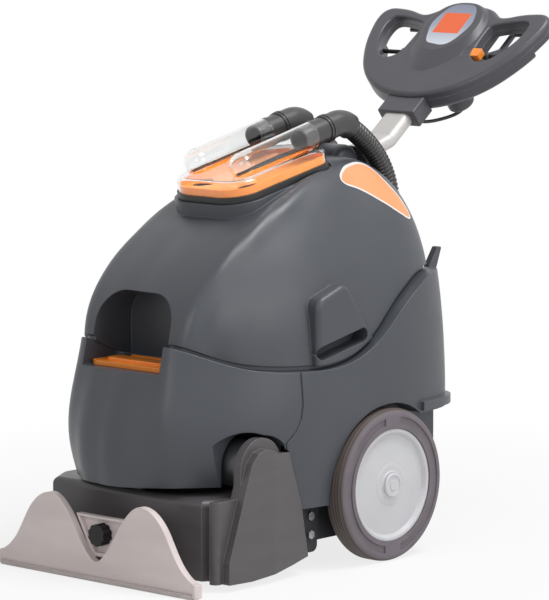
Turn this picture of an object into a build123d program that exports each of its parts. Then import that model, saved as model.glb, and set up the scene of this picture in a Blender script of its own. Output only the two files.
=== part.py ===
from build123d import *
from build123d.topology import SkipClean
import os
from collections import namedtuple
from math import asin, atan2, cos, hypot, pi, radians, sin, tan

# A walk-behind carpet extractor. Millimetres, +Z up, floor at Z 0, shoe towards -Y, handle towards +Y.

# Fits
seat_gap = 0.3
running_fit = 0.05
wall = 5.0

# Wheels and axle
axle_y = -26.0
axle_r = 10.0
wheel_r = 132.0
tyre_width = 42.0
tyre_face_x = 253.0
tyre_round = 11.0
tyre_groove_r = 118.0
tyre_bead_r = 106.0
tyre_groove = 2.5
tyre_pad = 19.0
hub_r = 98.0
hub_rim = 8.0
hub_dish = 6.0
hub_boss_r = 35.0
cap_r = 21.0
cap_height = 5.0
cap_button_r = 9.0
spacer_r = 18.0

# Body shells, as level outlines from the floor up
Level = namedtuple("Level", "z nose_y ridge_x ridge_y side_x side_y bulge rear_x rear_y")
lower_levels = [
    Level(100, -464, 102, -424, 226, -150, 30, 205, 178),
    Level(153, -473, 108, -426, 231, -146, 32, 208, 182),
    Level(250, -476, 115, -444, 236, -136, 36, 212, 184),
    Level(350, -444, 108, -430, 236, -106, 36, 212, 178),
    Level(400, -426, 104, -421, 235, -90, 36, 210, 174),
    Level(490, -400, 100, -395, 224, -70, 36, 200, 168),
]
upper_levels = [
    Level(335, -418, 112, -408, 226, -90, 30, 204, 158),
    Level(405, -414, 118, -403, 219, -66, 28, 198, 157),
    Level(476, -383, 122, -371, 206, -46, 25, 188, 156),
    Level(546, -307, 122, -296, 182, -16, 16, 166, 154),
    Level(592, -231, 122, -220, 158, 14, 10, 140, 151),
    Level(636, -134, 115, -124, 127, 20, 5, 108, 137),
    Level(664, -56, 92, -44, 99, 30, 2, 82, 108),
    Level(678, 4, 60, 12, 66, 40, 1, 50, 72),
]
ridge_round = 15.0
seam_line = [
    (-520, 402),
    (-423, 397),
    (-338, 362),
    (-258, 348),
    (-190, 345),
    (-100, 356),
    (-45, 384),
    (19, 438),
    (64, 466),
    (100, 481),
    (170, 484),
    (300, 484),
]
body_reach_x = 300.0
body_top_z = 900.0
seam_groove = 8.0
seam_inset = 6.0
split_y = -229.0
split_foot = [(-229, 292), (-234, 268), (-245, 248), (-264, 230)]
split_half = 2.5
split_depth = 3.0
tank_floor_z = 162.0
housing_foot_z = 112.0
rear_skirt_z = 245.0
rear_skirt_y = 60.0
arch_r = 140.0
arch_shift_y = 6.0
arch_inner_x = 201.0
well_wall = 4.0
well_back_y = 143.0
lip_height = 20.0
lip_reach = 7.0

# Filling mouth, fill cap and the recess above it
mouth_half_x = 90.0
mouth_back_y = -342.0
mouth_floor_z = 351.0
mouth_round = 14.0
filler_half_x = 66.0
filler_length = 40.0
cap_gap = 3.0
cap_front_y = -419.0
cap_thickness = 8.0
cap_pad_height = 5.0
cap_pin_r = 3.0
cap_pin_y = -350.0
recess_half_x = 88.0
recess_top_z = 478.0
recess_back_y = -316.0
recess_round = 55.0

# Side hand grips of the recovery tank
grip_face_x = 227.0
grip_front_y = -189.0
grip_apex_y = -116.0
grip_back_y = -38.0
grip_apex_z = 488.0
grip_shoulder_z = 462.0
grip_foot_z = 352.0
grip_edge_round = 9.0
grip_slot_length = 128.0
grip_slot_height = 24.0
grip_slot_depth = 34.0
grip_slot_y = -126.0
grip_slot_z = 384.0
grip_slot_tilt = 12.0

# Lid, gasket, clear domes and tray
lid_front_y = -231.0
lid_front_z = 615.5
lid_tilt = 12.8
lid_length = 240.0
lid_front_half = 87.0
lid_rear_half = 93.0
lid_front_round = 52.0
lid_rear_round = 24.0
gasket_width = 8.0
gasket_height = 11.0
dome_inset = 3.0
dome_wall = 2.6
dome_base_height = 26.0
dome_edge_round = 11.0
tube_x = 53.0
tube_r = 23.5
tube_tilt = 13.5
tube_front_y = -188.0
tube_end_y = -17.0
tube_end_z = 721.0
tray_thickness = 3.0
tray_rim = 13.0
tray_port_r = 19.0
pedestal_margin = 6.0
pocket_margin = 4.0
pedestal_depth = 70.0
lid_lip = 14.0

# Hump behind the lid
hump_r = 32.0
hump_width = 72.0
hump_y = 104.0
hump_z = 664.0

# Cuffs, elbows and hoses
cuff_wall = 3.2
cuff_in = 30.0
cuff_out = 40.0
cuff_ring = 3.5
elbow_r = 23.0
elbow_turn = 40.0
elbow_bend_r = 48.0
elbow_run = 26.0
elbow_tail = 5.0
hose_r = 19.0
hose_root_r = 17.2
hose_bore_r = 15.0
hose_straight = 38.0
hose_in = 12.0
hose_foot_z = 404.0
rib_count = 50
port_wall = 4.5
port_height = 24.0

# Rear shelf, handle post and pivot
shelf_half_x = 95.0
shelf_back_y = 229.0
shelf_z = 400.0
post_width = 45.0
post_depth = 36.0
post_wall = 3.0
post_foot_z = 150.0
post_top_z = 640.0
post_fit = 0.4
pivot_y = 185.0
pivot_z = 678.0
pivot_r = 6.0
pivot_head_r = 9.0
pivot_head = 2.0
tongue_half = 16.0
tongue_r = 9.5
tongue_plate = 5.0
hose_drop_y = 196.0

# Handle column and clamp
column_width = 58.0
column_depth = 26.0
column_wall = 3.0
column_round = 11.0
column_nose = 11.0
slot_reach = 30.0
slot_clear = 1.5
lower_tilt = 17.7
upper_tilt = 38.0
bend_y = 236.0
clamp_start = 58.0
clamp_length = 45.0
clamp_width = 84.0
clamp_depth = 36.0
column_end = 150.0

# Control head, drawn flat on its own tilted plane
head_tilt = 39.0
head_y = 293.0
head_z = 783.5
head_front = -5.0
head_half = 199.0
grip_outer_v = 227.0
grip_inner_v = 214.0
pod_half = 60.0
pod_front = 106.0
pod_back = 242.0
pod_foot_half = 71.0
pod_foot_front = 50.0
pod_round = 6.0
head_top = -10.0
head_split = -26.0
head_bottom = -50.0
grip_bottom = -38.0
head_round = 9.0
loop_round = 4.0
head_wall = 4.0
panel_thickness = 1.6
panel_half = 45.5
panel_front = 120.0
panel_back = 229.0
panel_proud = 0.4

# Squeeze levers, lock button and control cable
lever_axis_v = 130.0
lever_axis_w = -34.0
lever_shaft_r = 4.0
lever_eye_r = 8.0
lever_reach = 92.0
lever_width = 16.0
lever_thickness = 7.0
lever_gap = 10.0
lever_inner_u = 93.0
lever_arm = 9.0
lever_outer_u = 146.0
shaft_inner_u = 74.0
shaft_outer_u = 164.0
button_width = 13.0
button_length = 20.0
button_travel = 5.0
button_inner_u = 66.0
button_outer_u = 99.0
button_v = 116.0
button_w = -17.0
gland_u = 62.0
gland_v = 53.0
gland_r = 25.0
gland_height = 32.0
cable_r = 3.2
cable_bend_r = 12.0
cable_drop = 20.0
cable_plug_x = 10.0

# Cord hook
hook_x = 150.0
hook_y = 183.0
hook_z = 470.0
hook_stub_r = 7.0
hook_thickness = 12.0
hook_height = 46.0
hook_reach = 34.0

# Chassis
chassis_half_x = 194.0
chassis_plate = 6.0
chassis_floor_z = 104.0
chassis_front_y = -215.0
chassis_back_y = 150.0
chassis_top_z = 168.0
side_foot_z = 48.0
side_step_z = 130.0
side_back_y = 90.0
beam_half_x = 60.0
beam_back_y = 206.0
rail_x = 42.0
rail_width = 26.0
rail_front_y = -440.0
boss_r = 9.0
boss_x = 150.0
boss_front_y = -185.0
boss_rear_y = 130.0

# Brush deck and drive
deck_half_x = 194.0
deck_front_half = 175.0
deck_front_y = -421.0
deck_back_y = -228.0
deck_top_z = 148.0
deck_foot_z = 13.0
deck_round = 12.0
brush_y = -308.0
brush_z = 62.0
brush_core_r = 34.0
brush_r = 59.0
brush_half = 180.0
brush_shaft_r = 8.0
tuft_width = 7.0
tuft_length = 22.0
tuft_rows = 5
tufts_per_row = 13
bearing_r = 19.0
bearing_width = 10.0
drive_y = -308.0
drive_z = 195.0
motor_r = 40.0
motor_length = 130.0
motor_bay_r = 53.0
motor_bay_x = 20.0
motor_shaft_r = 7.0
pulley_x = 209.0
pulley_width = 14.0
motor_pulley_r = 18.0
brush_pulley_r = 34.0
pulley_flange = 3.0
belt_thickness = 4.0
belt_width = 10.0
belt_gap = 0.3
cover_face_x = 229.0
cover_step_x = 214.0
cover_back_x = 198.3
cover_wall = 4.0
cover_top_y = -318.0
cover_top_r = 50.0
cover_front_y = -427.0
cover_foot_z = 12.0
cover_rear = [(-261, 215), (-226, 118), (-208, 31)]
cover_panel_left = [(-411, 48), (-368, 171), (-354, 207), (-339, 223), (-321, 228), (-303, 224), (-291, 217)]
cover_foot = [(-250, 22.5), (-298, 14.5), (-355, 10.5), (-411, 12)]
cover_crease_y = -300.0
cover_crease = 5.0
cover_clear = 3.0
room_y = -334.0
room_z = 186.0
room_r = 68.0
bracket_thickness = 4.0
bracket_front_y = -262.0
bracket_back_y = -160.0
bracket_foot_z = 30.0
bracket_top_z = 110.0
bolt_r = 5.0
bolt_head_r = 8.0
bolt_head = 5.0
screw_r = 4.0
screw_head = 2.5
screw_circle_r = 27.0

# Vacuum shoe
shoe_half = 225.0
shoe_front_y = -495.0
shoe_depth = 14.0
shoe_wall = 4.0
shoe_end_z = 27.0
shoe_peak_x = 106.0
shoe_peak_z = 139.0
shoe_valley_z = 34.0
shoe_slot = 4.0
strip_height = 9.0
strip_reach = 3.0
yoke_half = 58.0
yoke_top_z = 108.0
yoke_depth = 26.0
yoke_plate = 4.0
knob_r = 19.0
knob_length = 20.0
knob_z = 78.0
stud_r = 5.0
shoe_pin_y = -444.0
shoe_pin_z = 62.0
shoe_pin_r = 5.0
lug_x = 34.0
lug_width = 10.0
lug_r = 13.0

# Motors on the chassis
vacuum_r = 74.0
vacuum_height = 128.0
vacuum_y = -116.0
pump_x = 112.0
pump_y = 60.0
pump_r = 27.0
pump_length = 84.0
spray_y = -243.0
spray_z = 98.0
spray_r = 7.0
spray_half = 165.0
jet_count = 4


def rod(radius, length, x=0.0, y=0.0, z=0.0):
    """Cylinder along X, centred on x."""
    return Pos(x, y, z) * Rot(0, 90, 0) * Cylinder(radius, length)


def tube(outer, inner, length, x=0.0, y=0.0, z=0.0):
    """Hollow cylinder along X."""
    return rod(outer, length, x, y, z) - rod(inner, length, x, y, z)


def block(x0, x1, y0, y1, z0, z1):
    """Box between two corners."""
    size = (x1 - x0, y1 - y0, z1 - z0)
    return Pos((x0 + x1) / 2, (y0 + y1) / 2, (z0 + z1) / 2) * Box(*size)


def side_profile(points, x0, x1):
    """Closed outline in the YZ plane, drawn out along X from x0 to x1."""
    outline = make_face(Polyline(*[(x0, y, z) for y, z in points], close=True))
    return extrude(outline, amount=x1 - x0, dir=(1, 0, 0))


def both_sides(piece):
    """A piece and its mirror image across the machine."""
    return [piece, mirror(piece, about=Plane.YZ)]


# Body shells

def level_outline(level, inset=0.0, drop=0.0):
    """Closed outline at one height: blunt nose, ridge, bulging flank, straight side and rounded rear."""
    nose = (0, level.nose_y + inset)
    ridge = (level.ridge_x - 0.6 * inset, level.ridge_y + inset)
    side = (level.side_x - inset, level.side_y)
    rear_y = level.rear_y - inset
    run = rear_y - level.side_y
    along = (side[0] - ridge[0], side[1] - ridge[1])
    length = hypot(*along)
    flank = []
    for share in (min(ridge_round / length, 0.1), 0.2, 0.45, 0.72):
        out = level.bulge * sin(pi * share) / length
        x = ridge[0] + share * along[0] + out * along[1]
        y = ridge[1] + share * along[1] - out * along[0]
        flank.append((x, y))
    middle = (0.5 * ridge[0], nose[1] + 0.22 * (ridge[1] - nose[1]))
    back = (middle[0] - ridge[0], middle[1] - ridge[1])
    share = min(ridge_round / hypot(*back), 0.35)
    front = [(ridge[0] + s * back[0], ridge[1] + s * back[1]) for s in (2.2 * share, share)]
    turn = [0.5 * ridge[i] + 0.25 * (front[1][i] + flank[0][i]) for i in (0, 1)]
    half = [nose, middle] + front + [tuple(turn)] + flank
    half += [side, (side[0], level.side_y + 0.7 * run), (level.rear_x - inset, level.side_y + 0.93 * run)]
    left = [(-x, y) for x, y in reversed(half[1:])]
    points = half + [(0, rear_y)] + left
    height = level.z - drop
    return make_face(Spline(*[(x, y, height) for x, y in points], periodic=True))


def shell_form(levels, inset=0.0, drop=0.0):
    return loft([level_outline(level, inset, drop) for level in levels])


def above_seam(lift):
    """Everything above the seam between the lower and upper mouldings, raised by lift."""
    line = Spline(*[(-body_reach_x, y, z + lift) for y, z in seam_line])
    first = line @ 0
    last = line @ 1
    top = Polyline(last, (-body_reach_x, last.Y, body_top_z), (-body_reach_x, first.Y, body_top_z), first)
    return extrude(make_face([line, top]), amount=2 * body_reach_x, dir=(1, 0, 0))


def ahead_of_split(shift):
    """Everything in front of the split between tank and housing, which swings forward above the cover."""
    line = [(y + shift, z) for y, z in split_foot]
    points = [(-600, 0), (-600, body_top_z), (split_y + shift, body_top_z)] + line + [(line[-1][0], 0)]
    return side_profile(points, -body_reach_x, body_reach_x)


def split_groove():
    """Shallow channel along the split, in both mouldings."""
    return ahead_of_split(split_half) - ahead_of_split(-split_half) - shell_form(lower_levels, split_depth)


def motor_bay(margin):
    """Room for the brush motor under the solution tank, open downwards."""
    length = chassis_half_x + body_reach_x - motor_bay_x + margin
    start = motor_bay_x - margin
    round_top = rod(motor_bay_r + margin, length, start + length / 2, drive_y, drive_z)
    half = motor_bay_r + margin
    return round_top + block(start, start + length, drive_y - half, drive_y + half, 0, drive_z)


def cover_room(margin):
    """Arched room in the flank for the belt cover, open below."""
    x0 = chassis_half_x - 30 - margin
    x1 = body_reach_x
    reach = room_r + margin
    room = rod(reach, x1 - x0, (x0 + x1) / 2, room_y, room_z)
    room += block(x0, x1, room_y - reach, room_y, 0, room_z)
    clear = cover_clear + margin
    rear = [(y + clear, z) for y, z in cover_rear]
    corner_y, corner_z = rear[0]
    top = [(room_y, room_z), (room_y, room_z + reach)]
    top += [(corner_y - 16, corner_z + 14), (corner_y, corner_z + 2)]
    return room + side_profile(top + rear + [(rear[-1][0], 0), (room_y, 0)], x0, x1)


def mouth_room(margin):
    """Pocket in the front edge of the solution tank that takes the fill cap."""
    half = mouth_half_x + margin
    room = block(-half, half, -600, mouth_back_y + margin, mouth_floor_z - margin, body_top_z)
    return fillet(room.edges().filter_by(Axis.Z).group_by(Axis.Y)[-1], mouth_round)


def filler_hole(margin):
    middle = (cap_front_y + cap_pin_y) / 2
    half = filler_half_x + margin
    reach = filler_length / 2 + margin
    return block(-half, half, middle - reach, middle + reach, mouth_floor_z - 40, mouth_floor_z + 1)


def solution_tank():
    """Lower front moulding, hollow, with the filling mouth at its front edge."""
    with SkipClean():
        return solution_tank_form()


def solution_tank_form():
    high = block(-body_reach_x, body_reach_x, -600, 400, tank_floor_z, body_top_z)
    outer = shell_form(lower_levels) & ahead_of_split(-seat_gap / 2) & high
    outer -= above_seam(0)
    outer -= split_groove()
    rooms = motor_bay(0) + cover_room(0)
    high = block(-body_reach_x, body_reach_x, -600, 400, tank_floor_z + wall, body_top_z)
    inner = shell_form(lower_levels, wall) & ahead_of_split(-wall) & high
    inner -= above_seam(-wall)
    inner -= motor_bay(wall) + cover_room(wall)
    inner -= mouth_room(wall)
    return outer - rooms - mouth_room(0) - inner - filler_hole(0) - fill_pin()


def wheel_arch():
    arch = rod(arch_r, body_reach_x, arch_inner_x + body_reach_x / 2, axle_y + arch_shift_y, wheel_r)
    return both_sides(arch)


def wheel_well(sign):
    """Lining of one wheel arch with the inner wall beside the tyre."""
    inner_x = arch_inner_x - well_wall
    reach = body_reach_x - inner_x
    middle_y = axle_y + arch_shift_y
    lining = rod(arch_r + well_wall, reach, inner_x + reach / 2, middle_y, wheel_r)
    lining &= block(0, body_reach_x, -body_reach_x, rear_skirt_y, housing_foot_z, body_top_z)
    lining -= block(0, body_reach_x, middle_y - arch_r, body_reach_x, 0, chassis_top_z + well_wall)
    lining += block(inner_x, arch_inner_x, middle_y, well_back_y, chassis_top_z + well_wall, wheel_r + arch_r)
    lining -= rod(arch_r, body_reach_x, arch_inner_x + body_reach_x / 2, middle_y, wheel_r)
    return lining if sign > 0 else mirror(lining, about=Plane.YZ)


def rear_bustle(margin):
    half = shelf_half_x - margin
    return block(-half, half, 120, shelf_back_y - margin, rear_skirt_z - margin, shelf_z - margin)


def rear_lip():
    """Raised band along the lower rear edge."""
    level = lower_levels[2]
    wide = level._replace(
        side_x=level.side_x + lip_reach,
        rear_x=level.rear_x + lip_reach,
        rear_y=level.rear_y + lip_reach,
    )
    band = extrude(level_outline(wide), amount=lip_height)
    band -= extrude(level_outline(level, 2), amount=lip_height)
    return band & block(-body_reach_x, body_reach_x, 64, 400, rear_skirt_z, rear_skirt_z + lip_height)


def housing_bosses():
    """Screw posts that reach from the chassis floor to the moulding's deck."""
    foot = chassis_floor_z + chassis_plate
    spots = [(boss_x, boss_front_y), (boss_x, boss_rear_y)]
    posts = [Pos(x, y, (foot + body_top_z) / 2) * Cylinder(boss_r, body_top_z - foot) for x, y in spots]
    return [side - above_seam(-1) for post in posts for side in both_sides(post)]


def post_hole():
    half_x = post_width / 2 + post_fit
    half_y = post_depth / 2 + post_fit
    return block(-half_x, half_x, pivot_y - half_y, pivot_y + half_y, 0, body_top_z)


def rear_housing():
    """Lower rear moulding: an open-bottomed shell with wheel arches, wings and a shelf for the hoses."""
    with SkipClean():
        outer = rear_housing_outer()
        inner = rear_housing_inner()
        back_wall_y = pivot_y - post_depth / 2 - wall
        notch = block(-shelf_half_x, shelf_half_x, back_wall_y, 400, shelf_z, body_top_z)
        low_rear = block(-body_reach_x, body_reach_x, rear_skirt_y, 400, 0, rear_skirt_z)
        shell = outer - inner - notch - low_rear - wheel_arch() - cover_room(0) - post_hole()
        shell -= [hose_hole(x) for x in (-tube_x, tube_x)]
        for boss in housing_bosses():
            shell += boss
        for sign in (-1, 1):
            shell += wheel_well(sign) & shell_form(lower_levels)
        return shell + hook_stub()


def rear_housing_outer():
    rear = block(-body_reach_x, body_reach_x, -400, 400, housing_foot_z, body_top_z)
    outer = shell_form(lower_levels) & rear
    outer -= ahead_of_split(seat_gap / 2)
    outer -= above_seam(0)
    outer -= split_groove()
    return outer + rear_bustle(0) + rear_lip()


def rear_housing_inner():
    """Hollow of the rear moulding, open in front and below, shut behind the tank."""
    inner = shell_form(lower_levels, wall) - above_seam(-wall)
    inner &= block(-body_reach_x, body_reach_x, -400, 400, 0, body_top_z)
    half = shelf_half_x - wall
    inner += rear_bustle(wall)
    inner += block(-half, half, rear_skirt_y, shelf_back_y - wall, 0, rear_skirt_z)
    shut_y = pivot_y - post_depth / 2 - 2 * wall
    return inner - block(-shelf_half_x - wall, shelf_half_x + wall, shut_y, 400, shelf_z - wall, body_top_z)


def hose_hole(x):
    """Hole in the shelf under a hose port."""
    return Pos(x, hose_drop_y, shelf_z) * Cylinder(hose_bore_r, 4 * wall)


def lid_plane(lift=0.0):
    lean = radians(lid_tilt)
    up = Vector(0, -sin(lean), cos(lean))
    return Plane(origin=Vector(0, lid_front_y, lid_front_z) + up * lift, x_dir=(1, 0, 0), z_dir=up)


def lid_outline(margin):
    """Rounded outline of the lid, a little wider at the rear, grown by margin."""
    front = lid_front_half + margin
    rear = lid_rear_half + margin
    far = lid_length + margin
    corners = [(-front, -margin), (front, -margin), (rear, far), (-rear, far)]
    face = make_face(Polyline(*corners, close=True))
    near = face.vertices().sort_by(Axis.Y)[:2]
    face = fillet(near, lid_front_round + margin)
    return fillet(face.vertices().sort_by(Axis.Y)[-2:], lid_rear_round + margin)


def lid_prism(margin, low, high):
    return lid_plane(low) * extrude(lid_outline(margin), amount=high - low)


def recess_room(margin):
    """Arched pocket in the front of the recovery tank, over the fill cap."""
    half = recess_half_x + margin
    room = block(-half, half, -600, recess_back_y + margin, 250, recess_top_z + margin)
    return fillet(room.edges().filter_by(Axis.Y).group_by(Axis.Z)[-1], recess_round)


def hand_grip():
    """Raised pad on the tank's flank, with rounded corners."""
    points = [
        (grip_front_y, grip_foot_z - 40),
        (grip_front_y, grip_shoulder_z),
        (grip_apex_y, grip_apex_z),
        (grip_back_y, grip_foot_z + 26),
        (grip_back_y, grip_foot_z - 40),
    ]
    pad = side_profile(points, grip_face_x - 80, grip_face_x)
    pad = fillet(pad.edges().filter_by(Axis.X).sort_by(Axis.Z)[2:], 22)
    return fillet(pad.faces().sort_by(Axis.X)[-1].edges(), grip_edge_round)


def grip_slot(margin):
    """Finger slot in the hand grip, along the seam."""
    depth = grip_slot_depth + margin
    length = grip_slot_length + 2 * margin
    height = grip_slot_height + 2 * margin
    outline = SlotOverall(length, height, rotation=grip_slot_tilt)
    slot = Plane.YZ * extrude(outline, amount=depth + 20)
    return Pos(grip_face_x - depth, grip_slot_y, grip_slot_z) * slot


def recovery_tank():
    """Upper domed moulding, hollow, with the lid opening on top and the filling recess in front."""
    with SkipClean():
        return recovery_tank_form()


def recovery_tank_form():
    outer = shell_form(upper_levels)
    outer += both_sides(hand_grip())
    outer += lid_prism(pedestal_margin, -pedestal_depth, 0)
    hump = fillet(rod(hump_r, hump_width, 0, hump_y, hump_z).edges(), 14)
    outer += hump
    outer &= above_seam(seam_groove)
    low_levels = upper_levels[:4]
    plinth = above_seam(seat_gap) - above_seam(seam_groove + 1)
    outer += shell_form(low_levels, seam_inset) & plinth
    inner = shell_form(upper_levels, wall, wall) & above_seam(seam_groove + wall)
    plinth_room = above_seam(seat_gap + wall) - above_seam(seam_groove + wall + 1)
    inner += shell_form(low_levels, seam_inset + wall) & plinth_room
    inner -= recess_room(wall)
    inner -= both_sides(grip_slot(wall))
    inner -= lid_prism(pocket_margin + wall, -wall, 100)
    opening = lid_prism(-lid_lip, -pedestal_depth - 20, 1)
    room = lid_prism(pocket_margin, 0, 120)
    return outer - inner - recess_room(0) - both_sides(grip_slot(0)) - opening - room


# Lid

def tube_axis_point(run):
    """Point on a dome tube's axis, run along it from the tube's rear end."""
    lean = radians(tube_tilt)
    return Vector(tube_x, tube_end_y + run * cos(lean), tube_end_z + run * sin(lean))


def tube_plane(run):
    lean = radians(tube_tilt)
    return Plane(origin=tube_axis_point(run), x_dir=(1, 0, 0), z_dir=(0, cos(lean), sin(lean)))


def dome_tube(radius, overrun):
    """Round dome tube with a spherical front end."""
    length = (tube_end_y - tube_front_y) / cos(radians(tube_tilt))
    body = tube_plane(-length) * extrude(Circle(radius), amount=length + overrun)
    return body + Pos(*tube_axis_point(-length)) * Sphere(radius)


def dome_base(inset, low, high, edge):
    base = extrude(lid_outline(-inset), amount=high - low)
    return lid_plane(low) * fillet(base.faces().sort_by(Axis.Z)[-1].edges(), edge)


def lid_dome():
    """Clear moulded cover with two tubular domes, open at their rear ends."""
    top = gasket_height + dome_base_height
    floor_cut = lid_prism(60, -80, gasket_height)
    outer = dome_base(dome_inset, gasket_height, top, dome_edge_round)
    outer += both_sides(dome_tube(tube_r, 0))
    inner = dome_base(dome_inset + dome_wall, gasket_height - 1, top - dome_wall, dome_edge_round - dome_wall)
    inner += both_sides(dome_tube(tube_r - dome_wall, 5))
    return outer - inner - floor_cut


def lid_tray():
    """Orange tray inside the domes, with a raised rim and a port under each tube."""
    inset = dome_inset + dome_wall + seat_gap
    low = gasket_height
    tray = lid_prism(-inset, low, low + tray_rim)
    tray -= lid_prism(-inset - 2, low + tray_thickness, low + tray_rim)
    port = lid_plane(0) * Pos(tube_x, 62, gasket_height) * Cylinder(tray_port_r, 20)
    return tray - both_sides(port)


def lid_gasket():
    return lid_prism(0, seat_gap, gasket_height) - lid_prism(-gasket_width, seat_gap, gasket_height)


def lid_cuff():
    """Black sleeve plugged into the rear end of a dome tube, relieved over the dome's base."""
    outer_r = tube_r - dome_wall - seat_gap
    base_top = gasket_height + dome_base_height + seat_gap
    sleeve = tube_plane(seat_gap) * extrude(Circle(tube_r), amount=10)
    sleeve += tube_plane(seat_gap) * extrude(Circle(tube_r - 1.2), amount=cuff_out - seat_gap)
    sleeve += tube_plane(cuff_out - 6) * extrude(Circle(outer_r + cuff_ring), amount=5)
    sleeve -= dome_base(dome_inset - seat_gap, gasket_height, base_top, dome_edge_round)
    sleeve += tube_plane(-cuff_in) * extrude(Circle(outer_r), amount=cuff_in + 4)
    return sleeve - tube_plane(-cuff_in) * extrude(Circle(outer_r - cuff_wall), amount=cuff_in + cuff_out)


def elbow_path():
    """Elbow centre line: short run, one arc over the top, short run."""
    rise = radians(tube_tilt)
    fall = radians(tube_tilt - elbow_turn)
    start = tube_axis_point(cuff_out)
    bend = tube_axis_point(cuff_out + elbow_run)
    over = Vector(0, elbow_bend_r * (sin(rise) - sin(fall)), elbow_bend_r * (cos(fall) - cos(rise)))
    reach = elbow_bend_r * tan(radians(elbow_turn / 2))
    corner = bend + Vector(0, cos(rise), sin(rise)) * reach
    end = bend + over + Vector(0, cos(fall), sin(fall)) * elbow_tail
    return FilletPolyline(start, corner, end, radius=elbow_bend_r)


def elbow_end():
    path = elbow_path()
    return path @ 1, path % 1


def hose_elbow():
    """Smooth rubber elbow over the cuff's end."""
    path = elbow_path()
    mouth = Plane(origin=path @ 0, x_dir=(1, 0, 0), z_dir=path % 0)
    skin = sweep(mouth * Circle(elbow_r), path=path)
    bore = sweep(mouth * Circle(hose_r + seat_gap), path=path)
    band = mouth * Pos(0, 0, 3) * Cylinder(elbow_r + 2, 6)
    return skin + band - bore


def hose_path():
    """Hose centre line: straight out of the elbow, one arc, straight down to the port."""
    end, heading = elbow_end()
    start = end - heading * hose_in
    drop_y = hose_drop_y
    lean = hypot(heading.Y, heading.Z)
    reach = (drop_y - start.Y) / (heading.Y / lean)
    corner = start + heading * reach
    foot = Vector(tube_x, drop_y, hose_foot_z)
    turn = pi / 2 + atan2(heading.Z, heading.Y)
    bend_r = (reach - hose_straight) / tan(turn / 2)
    print("hose bend radius", round(bend_r, 1))
    return FilletPolyline(start, corner, foot, radius=bend_r)


def ring(path, share, radius):
    centre = path @ share
    return Plane(origin=centre, x_dir=(1, 0, 0), z_dir=path % share) * Circle(radius)


def ribbed_hose():
    """Ribbed suction hose with its bore."""
    path = hose_path()
    step = 1.0 / rib_count
    rings = []
    for rib in range(rib_count):
        for share, radius in ((0.0, hose_root_r), (0.3, hose_root_r), (0.45, hose_r), (0.85, hose_r)):
            rings.append(ring(path, (rib + share) * step, radius))
    rings.append(ring(path, 1.0, hose_root_r))
    skin = loft(rings, ruled=True)
    bore = sweep(ring(path, 0, hose_bore_r), path=path)
    hose = skin - bore
    print("hose length", round(path.length, 1), "volume", round(hose.volume))
    return hose


def hose_port():
    """Collar on the rear shelf that takes the hose's lower end."""
    outer = hose_r + seat_gap + port_wall
    spot = Pos(tube_x, hose_drop_y, shelf_z + port_height / 2)
    collar = spot * (Cylinder(outer, port_height) - Cylinder(hose_r + seat_gap, port_height))
    foot = Pos(tube_x, hose_drop_y, shelf_z + 2) * (Cylinder(outer + 3, 4) - Cylinder(hose_bore_r, 4))
    return collar + foot


# Fill cap

def fill_cap():
    """Orange hinged cap with a raised pad, turning on a pin at its rear edge."""
    half = mouth_half_x - cap_gap
    low = mouth_floor_z + seat_gap
    plate = block(-half, half, cap_front_y, cap_pin_y, low, mouth_floor_z + cap_thickness)
    plate = fillet(plate.edges().filter_by(Axis.Z).group_by(Axis.Y)[0], 16)
    pad = extrude(RectangleRounded(1.55 * half, 0.5 * (cap_pin_y - cap_front_y), 12), amount=cap_pad_height)
    pad = fillet(pad.faces().sort_by(Axis.Z)[-1].edges(), 2.5)
    middle = (cap_front_y + cap_pin_y) / 2
    plate += Pos(0, middle, mouth_floor_z + cap_thickness) * pad
    barrel = rod(cap_pin_r + 3, 1.2 * half, 0, cap_pin_y, fill_pin_z())
    return plate + barrel - rod(cap_pin_r + running_fit, 4 * half, 0, cap_pin_y, fill_pin_z())


def fill_pin_z():
    return mouth_floor_z + seat_gap + cap_pin_r + 3


def fill_pin():
    """Hinge pin of the cap, held in the side walls of the mouth."""
    return rod(cap_pin_r, 2 * mouth_half_x + wall, 0, cap_pin_y, fill_pin_z())


# Wheels and axle

def tyre():
    """Solid rubber tyre: rounded shoulders, a ring groove in each side wall, two flat pads across it."""
    solid = rod(wheel_r, tyre_width, tyre_face_x - tyre_width / 2)
    solid = fillet(solid.edges(), tyre_round)
    solid -= rod(hub_r, tyre_width, tyre_face_x - tyre_width / 2)
    for x in (tyre_face_x, tyre_face_x - tyre_width):
        groove = tube(tyre_groove_r, tyre_bead_r, 2 * tyre_groove, x)
        solid -= groove - block(x - 9, x + 9, -tyre_pad, tyre_pad, -wheel_r, wheel_r)
    return Pos(0, axle_y, wheel_r) * solid


def hub():
    """Pale moulded hub disc: raised rim, shallow dish and a stepped middle."""
    inner_x = tyre_face_x - tyre_width
    face_x = tyre_face_x - 3
    floor_x = face_x - hub_dish
    bore = axle_r + running_fit
    points = [
        (inner_x, bore),
        (face_x, bore),
        (face_x, cap_r + 2),
        (face_x - 2, cap_r + 4),
        (face_x - 2, hub_boss_r),
        (face_x - 3, hub_boss_r + 2),
        (floor_x, hub_r - hub_rim - 6),
        (floor_x, hub_r - hub_rim - 3),
        (face_x, hub_r - hub_rim),
        (face_x + 1.5, hub_r - hub_rim + 2),
        (face_x + 1.5, hub_r - 2),
        (face_x, hub_r),
        (inner_x, hub_r),
    ]
    profile = make_face(Polyline(*points, close=True))
    return Pos(0, axle_y, wheel_r) * revolve(profile, axis=Axis.X)


def axle():
    return rod(axle_r, 2 * (tyre_face_x - 3), 0, axle_y, wheel_r)


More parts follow.
